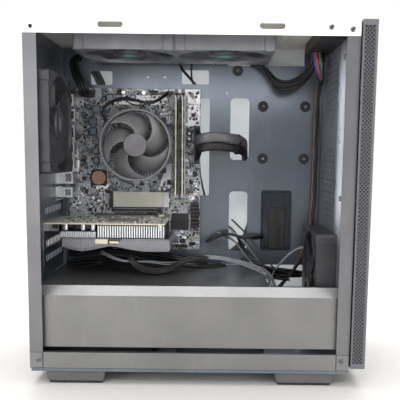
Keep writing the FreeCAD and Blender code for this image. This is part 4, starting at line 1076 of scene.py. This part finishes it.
# The cover's near side is a long faceted band whose lower edge rises and falls.
LOWER = ((-172, 157.6), (-166, 155.2), (-149, 151.7), (-138, 153.4), (-114, 158.8), (-104, 158.2),
    (-91, 155.2), (-76, 153.0), (-70, 152.2), (-39.5, 152.3), (-37, 153.6))
TOP_LINE = [(x, 168.7) for x, _ in LOWER[:-2]] + [(-39.5, 168.7), (-37, 167.4)]
cover = Form()
sections = []
for (x, low), (_, top) in zip(LOWER, TOP_LINE):
    knee = low + (top - low) * 0.42
    sections.append([(x, -45.6, top), (x, -48, top - 0.8), (x, -48, knee), (x, -46.2, low + 0.5),
        (x, -45, low), (x, 51.4, low), (x, 52, low + 0.8), (x, 52, top), (x, 49.8, top),
        (x, 49.8, low + 2.4), (x, -43.6, low + 2.4), (x, -45.2, low + 4)])
cover.loft(sections)
cover.block((-173.2, -170.4), (-47.6, 51.6), (157.8, 168.5), 0.5)
cover.block((-39.8, -37.1), (-47.4, 51.4), (153.8, 167.2), 0.5)
shroud = piece("card_cover", cover, "card_shell", ["gpu_shroud"], angle=22)
mouth = Form((-104.5, 2, 0))
mouth.lathe([(45.2, 148), (43.2, 156), (43.2, 172)], sides=72)
bore(shroud, mouth)
trims = Form()
for x0, x1, low0, low1 in ((-165, -148.5, 156.8, 153.6), (-146.5, -120, 154.2, 159.6)):
    trims.loft([[(x, -48.0, low + 0.6), (x, -48.22, low + 0.8), (x, -48.22, low + 1.5),
        (x, -48.0, low + 1.7)] for x, low in ((x0, low0), (x1, low1))])
trims.block((-172.4, -37.6), (-48.15, -47.0), (166.9, 167.6), 0.1)
trims.block((-149.6, -148.8), (-48.2, -47.4), (154.6, 168.2), 0.1)
piece("card_cover_lines", trims, "grey")
plates = Form()
plates.block((-131, -115.6), (-48.25, -47.5), (162.3, 168.0), 0.15)
plates.block((-113, -101.5), (-48.25, -47.5), (162.8, 165.6), 0.15)
piece("card_cover_plate", plates, "cream")
notch = Form()
notch.loft([[(x, y, z) for x, z in ((-115, 161.6), (-103, 161.8), (-97.4, 168.4), (-115, 168.6))]
    for y in (-48.12, -46.8)])
piece("card_cover_recess", notch, "chip")
hub = Form((-104.5, 2, 0))
hub.lathe([(14, 165.4), (14, 168.6)], sides=40)
for number in range(3):
    turn = tau * number / 3 + 0.4
    hub.spoke([(r, turn, 2.4) for r in (12, 46)], ((-1, 166.2), (1, 166.2), (1, 168.4),
        (-1, 168.4)))
piece("card_fan_seat", hub, "dark", bevel=0.2)
spin = Form((-104.5, 2, 152.6))
spin.lathe([(10.4, 0.6), (12.4, 1.2), (13, 2.4), (13, 11.4)], sides=40)
blades(spin, 13, 40, 9, 2.4, 10.2, 34, 24, 1.2)
piece("card_fan_blades", spin, "wheel", ["gpu_fan_rotor"],
    body="card_fan_wheel")

# ---------------------------------------------------------------- power supply

fan_guard = Form((-120, 0, 15.9))
for radius in (10, 19, 28, 37, 46, 55):
    fan_guard.loft([[(x, y, 0.95 + up) for x, y in circle(0, 0, radius + out, 72)]
        for out, up in circle(0, 0, 0.75, 8)], closed=True)
for number in range(4):
    turn = radians(45 + 90 * number)
    fan_guard.wire([(r * cos(turn), r * sin(turn), 1.0) for r in (4, 20, 40, 57)], 0.75)
piece("supply_fan_guard", fan_guard, "screw")
spin = Form((-120, 0, 18.5))
spin.lathe([(15, 1.3), (17.4, 1.9), (18, 3.2), (18, 15.4)], sides=40)
blades(spin, 18, 52, 11, 3.0, 14.4, 30, 22, 1.4)
piece("supply_fan_blades", spin, "wheel", ["psu_fan_rotor"],
    body="supply_fan_wheel")
grille = Form((-197.15, 0, 0), "-X")
for left, low, high in ((-12, 28, 46), (-12, 72, 94), (10, 46, 72)):
    grille.net(left, low, 60, high, 6.2, 2.5, 0.1, 0.75)
piece("supply_rear_grille", grille, "black_coat")
rocker = Form((-195, -3, 59), "-X")
rocker.loft([[(-7.4, -6.3, z), (7.4, -6.3, z + 1.6 * k), (7.4, 6.3, z + 1.6 * k), (-7.4, 6.3, z)]
    for z, k in ((0.1, 0), (1.4, 1))])
piece("supply_rocker_key", rocker, "black", ["psu_switch"], bevel=0.4,
    body="supply_rocker")
surround = Form((-197.2, 0, 0), "-X")
for low, high, bottom, top in ((-8.6, 14.6, 49.4, 68.6), (26.6, 56.4, 47.4, 70.6)):
    surround.frame((low, bottom, high, top), 1.5, ((0.05, 0), (0.9, 0.3), (0.9, 2.3), (0.05, 2.5)),
        closed=True)
piece("supply_surrounds", surround, "black")


# --------------------------------------------------------------------- wiring

BAND_SIDES, BAND_ROUNDING = 20, 3.0


def band(name, path, wide, thick, look, stands_for=()):
    """A flat band of wires in a sleeve, kept upright along its path."""
    path = [Vector(p) for p in path]
    side = Vector((0, -1, 0))
    loops = []
    for index, p in enumerate(path):
        ahead = heading(path, index)
        across = ahead.cross(Vector((0, 0, 1)))
        if across.length > 0.05:
            side = across.normalized()
        top = side.cross(ahead).normalized()
        ripple = 1 + 0.03 * sin(index * 1.7)
        loop = []
        for c, s in circle(0, 0, 1, BAND_SIDES):
            shape = (abs(c) ** BAND_ROUNDING + abs(s) ** BAND_ROUNDING) ** (-1 / BAND_ROUNDING)
            loop.append(p + top * (c * shape * wide / 2 * ripple) + side * (s * shape * thick / 2
                * ripple))
        loops.append(loop)
    return piece(name, Form().loft(loops), look, stands_for, angle=60)


def bundle(*rings):
    """The places of wires in rings of (radius, count) about a middle."""
    return [spot for radius, count in rings for spot in circle(0, 0, radius, count)]


def wires(name, points, spots, radius, look, stands_for=(), twist=0.0, breathe=0.0, seed=1):
    """A lead: wires at spots round its route, as one piece."""
    form = Form()
    for track in laid(route(points), spots, twist, breathe, seed):
        form.wire(track, radius)
    return piece(name, form, look, stands_for, angle=60)


MAIN_ROUTE = ((-5.5, 47, 289), (-2, 34, 290), (6, 26, 292), (20, 25, 293.5), (36, 30, 292),
    (50, 40, 290), (60, 56, 286), (62, 70, 281), (61, 84, 275), (65, 90, 263), (76, 92, 238),
    (76, 92, 175), (56, 92, 135), (10, 92, 112), (-18, 90, 92), (-34, 80, 76), (-40, 62, 64),
    (-40, 40, 57), (-43, 22, 52), (-57, 22, 52))
main = route(MAIN_ROUTE)
band("main_lead_upper", [p + Vector((0, -2, 6.4)) for p in main[:62]], 13.4, 7, "sleeve_light",
    ["atx_cable"])
band("main_lead_lower", [p + Vector((0, 2, -6.2)) for p in main[:62]], 11.5, 6.5, "sleeve")
band("main_lead_rest", main[56:], 12, 8, "sleeve")
band("main_lead_tie", [p + Vector((0, 0, 0.2)) for p in main[37:40]], 27.5, 9.4, "wire")
plug_wires = Form()
for row in range(12):
    for column in (-8.4, -4.8):
        z = 265.5 + row * 4.27
        plug_wires.wire(route([(column, 53, z), (column, 48, z),
            (column + 2, 42, 289 + (z - 289) * 0.8), (column + 5, 34, 290 + (z - 289) * 0.5)], 5),
            1.0, 6)
piece("main_plug_wires", plug_wires, "wire", angle=60)
main_plug = Form()
main_plug.block((-10.4, -2.8), (46, 54.9), (263.6, 314.4), 0.5)
for row in range(13):
    z = 262.8 + row * 4.29
    main_plug.block((-10.7, -2.5), (46.3, 54.8), (z - 0.15, z + 0.5), 0.1)
piece("main_plug_shell", main_plug, "black")

CPU_ROUTE = ((-158.5, 44, 357.5), (-159, 36, 361), (-163, 34, 370), (-170, 42, 382),
    (-176, 56, 394), (-178, 66, 402), (-176, 76, 408), (-166, 84, 406), (-152, 89, 392),
    (-141, 91, 365), (-138, 92, 320), (-139, 92.5, 270), (-138, 92, 220), (-134, 93, 170),
    (-118, 92, 130), (-90, 91, 110), (-64, 90, 98), (-47, 83, 91), (-38, 69, 87), (-38, 56, 83),
    (-44, 50, 80), (-57, 50, 80))
wires("processor_lead", CPU_ROUTE, bundle((2.0, 3), (4.6, 7)), 1.7, "sleeve", ["cpu_power_cable"],
    0.02, 0.12, 3)
cpu_plug = Form()
for row in range(4):
    for heights in ((353.4, 357.2), (357.8, 361.6)):
        cpu_plug.block((-167.4 + row * 4.6, -163.0 + row * 4.6), (44.5, 54.9), heights, 0.5)
piece("processor_plug_shell", cpu_plug, "black")

PAIR = ((-1.3, 0), (1.3, 0), (0, 1.9))
wires("cooler_lead", ((-128, 31, 318), (-134, 30, 331), (-126, 33, 343), (-107, 30, 350),
    (-88, 29, 347), (-70, 32, 344), (-57, 40, 349), (-48, 50, 357), (-46, 57, 360)), PAIR, 1.15,
    "wire", ["fan_leads"], 0.05, 0.35, 4)
wires("cooler_lead_loose", ((-104, 31, 349), (-96, 28, 341), (-80, 30, 340), (-66, 33, 345),
    (-56, 41, 350)), ((0, 0),), 1.0, "wire", seed=5)
piece("cooler_lead_plug", on_board().block((-50, -40.5), (357.6, 362), (2.6, 12.5), 0.5), "black")

wires("roof_fan_lead", ((-31, 47, 410), (-31, 49, 400), (-28, 58, 392), (-20, 66, 384),
    (-14, 74, 378), (-9, 84, 374), (-4, 90, 366), (-4, 92, 330), (-5, 92.5, 280), (0, 92, 230),
    (14, 92, 190), (40, 90, 172), (50, 80, 165), (53, 66, 158), (60, 50, 146), (72, 38, 134),
    (87, 31, 126), (97, 30, 114), (102, 32, 98)), ((-0.9, 0), (0.9, 0)), 1.0, "wire", twist=0.03,
    seed=6)
wires("roof_fan_lead_two", ((-14, 47, 410), (-14, 52, 400), (-15, 62, 392), (-15, 72, 384),
    (-14, 80, 378), (-10, 90, 366), (-9, 92, 330)), ((0, 0),), 1.3, "wire")
wires("front_fan_lead", ((143, 30, 150), (136, 36, 148), (124, 42, 138), (112, 44, 124),
    (102, 44, 110), (96, 44, 92)), ((-0.8, 0), (0.8, 0)), 0.9, "wire_grey")
wires("card_lead", ((-92, -14, 150), (-90, -20, 142), (-84, -24, 132), (-73, -24, 126),
    (-57, -22, 122.5), (-41, -20, 125), (-28, -20, 132.5), (-14, -18, 139), (0, -12, 141),
    (12, -6, 137), (28, 0, 134)), ((-3.2, 0), (-1.1, 0.6), (1.1, 0), (3.2, -0.4), (-2.1, 1.9),
    (0, 2.4), (2.1, 1.9)), 1.25, "wire", twist=0.008, breathe=0.1, seed=8)
wires("card_lead_thin", ((-130, -10, 146), (-112, -18, 138), (-92, -20, 135), (-66, -14, 135),
    (-40, -12, 131), (-14, -14, 136), (6, -10, 141), (30, -2, 137)), ((-1, 0), (1.2, 0.4)), 1.0,
    "wire_grey", breathe=0.5, seed=9)
wires("card_lead_far", ((4, -10, 141), (24, -4, 140), (44, 0, 135), (66, 2, 129), (84, 3, 122),
    (96, 3, 113), (101, 1, 98)), ((-2.6, 0), (0, 0.3), (2.4, 0)), 1.2, "wire_grey", breathe=0.3,
    seed=10)
UNDER = [(a * 3.9, b * 3.9) for a in (-1, 0, 1) for b in (-0.5, 0.5)]
wires("floor_leads", ((-188, 46, 118), (-150, 50, 124), (-110, 44, 127), (-70, 38, 122),
    (-30, 36, 118), (6, 44, 117), (36, 56, 116)), UNDER, 2.2, "sleeve", twist=0.01, breathe=0.25,
    seed=31)
wires("floor_leads_high", ((-188, 58, 136), (-150, 60, 141), (-100, 57, 138), (-56, 54, 132),
    (-20, 50, 128), (10, 56, 122)), UNDER, 2.0, "wire", twist=0.012, breathe=0.3, seed=32)
wires("corner_leads", ((58, 66, 121), (76, 62, 119), (96, 60, 112), (120, 62, 108),
    (146, 64, 106)), UNDER, 1.9, "wire", twist=0.02, breathe=0.3, seed=33)
wires("corner_leads_low", ((64, 56, 108), (84, 52, 104), (104, 50, 106), (128, 52, 102)),
    UNDER[:4], 1.6, "sleeve", twist=0.03, breathe=0.4, seed=34)
for number, (start, height) in enumerate(((66, 160), (60, 152), (52, 148), (44, 156))):
    wires(f"fine_lead_{number}", ((start - 22, 70, height + 24 - 5 * number),
        (start - 2, 62, height + 6), (start + 14, 48, height - 14), (start + 28, 38, height - 30),
        (start + 40, 34, height - 44)), ((-0.7, 0), (0.7, 0)), 0.7,
        ("wire", "wire_grey")[number % 2], twist=0.03, breathe=0.3, seed=40 + number)
wires("tied_leads", ((8, 60, 152), (22, 58, 160), (34, 62, 164), (46, 60, 163), (60, 57, 160),
    (78, 58, 158), (90, 66, 160)), ((-1.6, 0), (0.4, 1.1), (1.6, -0.4)), 1.3, "wire", twist=0.05,
    seed=12)

wires("port_leads", ((148, 8, 408.3), (148, 8, 398), (144, 14, 388), (136, 26, 379),
    (124, 38, 373), (110, 46, 372), (97, 52, 378), (88, 56, 390), (80, 58, 398), (68, 61, 402)),
    bundle((0, 1), (3.2, 6)), 1.9, "sleeve", ["front_panel_leads"], twist=0.03, breathe=0.2,
    seed=13)
wires("port_leads_low", ((152, 20, 408), (150, 24, 394), (140, 34, 378), (124, 44, 364),
    (108, 50, 362), (98, 56, 370), (94, 60, 386)), ((-2, 0), (2, 0), (0, 2.4)), 2.1, "sleeve",
    twist=0.04, breathe=0.2, seed=14)
for number, (look, shift) in enumerate((("wire_purple", -4), ("wire_red", -1.5), ("wire_green", 3),
        ("wire", 5.4), ("wire", 1.2))):
    wires(f"panel_wire_{number}", ((150 + shift, 2, 408), (151 + shift, 0, 398),
        (152 + shift * 0.7, 2, 388), (157 + shift * 0.4, 10, 378), (160 + shift * 0.3, 26, 372)),
        ((-0.8, 0), (0.8, 0)), 1.1, look, twist=0.05, breathe=0.3, seed=20 + number)
wires("panel_leads_down", ((160, 16, 408.3), (160, 16, 399), (160, 28, 388), (161, 44, 372),
    (161, 55, 345), (162, 60, 300), (160.5, 60.5, 250), (161, 60, 200), (156, 58, 160),
    (144, 56, 130), (128, 54, 106), (112, 52, 88)), ((-1.5, 0), (0.4, 1.2), (1.5, -0.3)), 1.3,
    "sleeve", twist=0.04, seed=15)
wires("panel_leads_brown", ((158, 20, 392), (158, 46, 370), (158, 62, 340), (158.5, 64, 300),
    (158, 64, 250), (158, 64, 205), (154, 62, 165), (144, 60, 135), (130, 56, 108)),
    ((-0.7, 0), (0.7, 0)), 0.9, "wire_brown", twist=0.09)
band("panel_lead_strap", [(157 + i * 0.4, 18 + i * 3, 378 - i * 2) for i in range(4)], 11, 8,
    "black")


# ------------------------------------------------------------- case and panels

for side, name in ((-1, "near"), (1, "far")):
    backing = Form()
    backing.block((184.3, 197.4), sorted((side * 110.5, side * 110.9)), (29.9, 421.1), 0.1)
    piece(f"front_backing_{name}", backing, "black", body="front_cover")
    strip = Form((0, side * 111.1, 0), "-Y" if side < 0 else "Y")
    edges = (184.6, 30.1, 197.1, 420.9) if side < 0 else (30.1, 184.6, 420.9, 197.1)
    strip.net(*edges, 4.16, 1.14, 0, 0.8, row=0.57)
    piece(f"front_perforation_{name}", strip, "mesh_grey", ["front_panel_mesh"]
        if side < 0 else (), angle=60, body="front_cover")

piece("roof_filter_net", Form((0, 0, 425.2)).net(-181, -81, 121, 81, 4.1, 1.35, 0, 0.6), "net",
    body="roof_filter")
roof_frame = Form()
roof_frame.frame((-188, -88, 128, 88), 6, ((423.8, 0), (427.0, 0), (427.3, 0.4), (427.3, 6.6),
    (426.6, 7.4), (423.8, 7.4)), closed=True, ease=0.3)
for x in (-80, 20):
    roof_frame.block((x - 1.5, x + 1.5), (-81, 81), (424, 425.3))
roof_frame.block((-181, 121), (-1.5, 1.5), (424, 425.3))
piece("roof_filter_frame", roof_frame, "black", ["top_dust_filter"], angle=35,
    body="roof_filter")

piece("floor_filter_net", Form((0, 0, 14.0)).net(-184, -63, -50, 63, 4.1, 1.35, 0, 0.5), "net",
    body="floor_filter")
floor_frame = Form()
floor_frame.frame((-186, -68, -48, 68), 3, ((13.3, 0), (15.1, 0), (15.1, 5.4), (13.3, 5.4)),
    closed=True)
floor_frame.prism([(-196, -12), (-194, -15), (-186, -15), (-186, 15), (-194, 15), (-196, 12)],
    13.3, 15.1, 0.4)
for y in (-21, 21):
    floor_frame.block((-181, -53), (y - 1, y + 1), (13.3, 14.2), 0.2)
piece("floor_filter_frame", floor_frame, "black", ["psu_dust_filter"],
    body="floor_filter")

for number, x in enumerate((-146.2, 129.2)):
    for side in (-1, 1):
        y0, y1 = sorted((side * 105, side * 86))
        foot = Form((x, 0, 0))
        loops = []
        for z, half, inset in ((3.0, 33.2, 0.8), (3.4, 33.6, 0.2), (14.9, 35.9, 0),
                (15.8, 36.2, 0)):
            loops.append([(px, py, z) for px, py in rounded(-half, y0 + inset, half, y1 - inset,
                2.4 - inset)])
        foot.loft(loops)
        name = f"foot_{number}_{'near' if side < 0 else 'far'}"
        piece(name, foot, "foot", ["feet"] if number == 0 and side < 0 else (),
            angle=35)
        sole = Form((x, 0, 0))
        sole.loft([[(px, py, z) for px, py in rounded(-half, y0 + 1.6, half, y1 - 1.6, 2)]
            for z, half in ((0.0, 31.2), (0.5, 31.8), (3.1, 32.2))])
        for step in range(15):
            sole.block((-28.6 + step * 4, -27 + step * 4), (y0 + 1.3, y0 + 2.2), (0.7, 2.7), 0.2)
        piece(f"{name}_sole", sole, "rubber")

COLUMN_Y = -107.8
plates = Form((0, COLUMN_Y, 0), "-Y")
for left, right in ((-199.7, -184.9), (166.9, 181.5)):
    plates.frame((left, 20.2, right, 38.8), 0.8, ((0.0, 0), (0.62, 0), (0.75, 0.14)))
piece("corner_plates", plates, "cover", angle=30)
gaps = Form((0, COLUMN_Y, 0), "-Y")
for left, right in ((-199.9, -184.4), (166.4, 181.7)):
    gaps.frame((left, 19.9, right, 39.4), 0.8, ((0.05, 0), (0.3, 0)))
piece("corner_plate_shadow_gaps", gaps, "black_coat", angle=30)

flange = Form((0, 0, 0), "X")
flange.loft([[(y, z, x) for y, z in ((74.9, 399.5), (74.9, 423.4), (73.7, 423.4), (73.7, 400.9),
    (67.4, 400.9), (66.9, 399.5))] for x in (36, 143)])
# The far flange's pale paint is painted light.
piece("roof_far_flange", flange, "pale_painted_light_coat", bevel=0.25)

SCREW_HEADS = [((x, -108.5, z), "-Y", 3.2) for x, z in ((-189.6, 30.4), (172.6, 31.8))]
SCREW_HEADS += [((x, -108, z), "-Y", 3.2) for x, z in ((148.3, 419), (172.3, 417))]
SCREW_HEADS += [((x, BOARD_Y, z), "-Y", 3.2) for x, z in ((-185, 361.5), (-14, 358), (-170, 226),
    (-14, 226), (-184, 147), (-14, 147))]
SCREW_HEADS += [((-198.5, -42 + a, 311 + b), "-X", 3.0) for a, b in SCREW_SPOTS]
SCREW_HEADS += [((-198.5, y, z), "-X", 3.0) for y, z in ((-69, 23), (-69, 97), (69, 23), (69, 87))]
SCREW_HEADS += [((x + a, -15 + b, 423.5), "Z", 3.0) for x in (-91, 29) for a, b in SCREW_SPOTS]
SCREW_HEADS += [((170.2, -15 + a, 119.5 + b), "X", 3.0) for a, b in SCREW_SPOTS]
heads = Form()
for spot, axis, radius in SCREW_HEADS:
    one = Form(spot, axis)
    one.lathe([(radius, 0.02), (radius, 0.5), (radius * 0.86, 1.15), (radius * 0.5, 1.4),
        (radius * 0.48, 0.75), (0.25, 0.7)], sides=24)
    for angle in (0, 90):
        one.spoke([(t, radians(angle), 0.32) for t in (-1.5, 1.5)], ((-1, 0.8), (1, 0.8),
            (1, 1.44), (-1, 1.44)))
    mesh = bpy.data.meshes.new("one")
    one.bm.to_mesh(mesh)
    one.bm.free()
    heads.bm.from_mesh(mesh)
    bpy.data.meshes.remove(mesh)
piece("screw_heads", heads, "screw", ["screws"])

knobs = Form((-200, 101.5, 0), "X")
for z in (70, 380):
    ring_points = []
    for i in range(72):
        r = 5.4 - 0.35 * (i % 3 == 0)
        a = tau * i / 72
        ring_points.append((r * cos(a), z + r * sin(a)))
    knobs.prism(ring_points, 0.0, 3.4, 0.35)
    knobs.lathe([(1.9, 3.2), (1.9, 3.5), (1.5, 3.7), (1.5, 10)], 0, z, 24)
piece("side_panel_knobs", knobs, "black_coat", ["thumbscrews"], body="side_panel")

TRAY_Y = 75
grommet_heads = Form((0, TRAY_Y, 0), "-Y")
for x, z in ((49.9, 392.8), (86.4, 343.9), (146.1, 344.2), (87, 271), (145.9, 271.2)):
    grommet_heads.lathe([(2.3, 0.9), (2.4, 1.6), (1.7, 2.1), (0.9, 1.7), (0.3, 1.6)], x, z, 20)
    ring = Form((x, TRAY_Y, z), "-Y")
    ring.lathe([(5.2, 0.0), (7.2, 0.2), (7.4, 0.9), (6.8, 2.0), (5.0, 2.4), (3.6, 2.2), (3.3, 0.9),
        (0.5, 0.9)], sides=40)
    piece(f"tray_grommet_{int(x)}_{int(z)}", ring, "rubber", ["tray_grommets"] if x < 50
        else ())
piece("tray_grommet_heads", grommet_heads, "screw")

bracket = Form((0, TRAY_Y, 0), "-Y")
bracket.frame((86.2, 139.3, 129.6, 225.6), 3, ((0.1, 0), (2.6, 0), (2.9, 0.3), (2.9, 2.2),
    (1.5, 2.6), (0.1, 2.6)), closed=True, ease=1)
bracket.frame((88.4, 141.4, 127.4, 223.4), 1.5, ((0.2, 0), (1.5, 0)))
well = Form((0, TRAY_Y, 0), "-Y")
well.frame((97.2, 141.5, 120.6, 201), 2, ((1.4, 0), (5.2, 0.5), (5.6, 0.9)))
well.frame((107.4, 175, 111.6, 195), 1.2, ((5.4, 0), (6.1, 0.2), (6.1, 0.9), (5.4, 1.1)),
    closed=True)
well.block((107.6, 111.4), (146, 172), (5.4, 8.4), 0.6)
piece("drive_bracket_well", well, "black", angle=35)
for x, z in ((92, 145), (124.4, 145), (92, 219), (124.4, 219), (100, 207), (117, 207)):
    bracket.lathe([(2.6, 1.4), (2.6, 2.2), (1.4, 2.4), (1.2, 1.6)], x, z, 20)
# The bracket is the tray's paint, darkened with painted shade.
piece("drive_bracket", bracket, "inner_painted_shade", ["ssd_bracket"], angle=35)

key = Form((153.4, -72, 419.3))
key.lathe([(7.9, 0), (8, 0.5), (8, 7.4), (7.6, 7.9), (5.2, 8.0), (4.9, 7.7), (0.3, 7.7)], sides=48)
piece("power_key_cap", key, "black", ["power_button"], body="power_key")
rings = Form((0, 0, 427.5))
for y in (-10, 6):
    rings.lathe([(1.8, -0.6), (1.8, -0.05), (3.0, -0.02), (3.2, -0.3), (3.2, -0.6)], 153.4, y,
        closed=True)
piece("port_rings", rings, "gold")
port_tabs = Form()
for y in (-46, -30):
    port_tabs.block((148, 158.8), (y - 0.9, y + 0.9), (415, 425.6))
piece("port_tabs", port_tabs, "chip")

LOOKS = {"rear_wall": "inner", "motherboard_tray": "inner", "bottom_plate": "inner",
    # The top plate's light beige is painted light.
    "top_plate": "roof", "front_wall": "wall", "corner_columns": "column", "bottom_rails": "cover",
    # The top rails' near-white is a painted highlight.
    "top_rails": "rail_painted_highlight_white", "psu_shroud": "cover", "slot_covers": "inner",
    "drive_cage": "inner", "standoffs": "brass", "front_panel": "panel",
    # The far side panel's pale paint is painted light, for the backdrop seen through the case.
    "right_side_panel": "pale_painted_light_coat", "front_io_ports": "black", "motherboard_pcb": "board",
    "io_shield": "steel", "io_ports": "tin", "gpu_bracket": "steel", "psu_case": "black_coat",
    "psu_circuit": "card_board"}
for node_name, look in LOOKS.items():
    if node_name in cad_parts:
        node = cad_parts[node_name]
        for index in range(len(node.material_slots)):
            node.material_slots[index].material = MATERIALS[look]
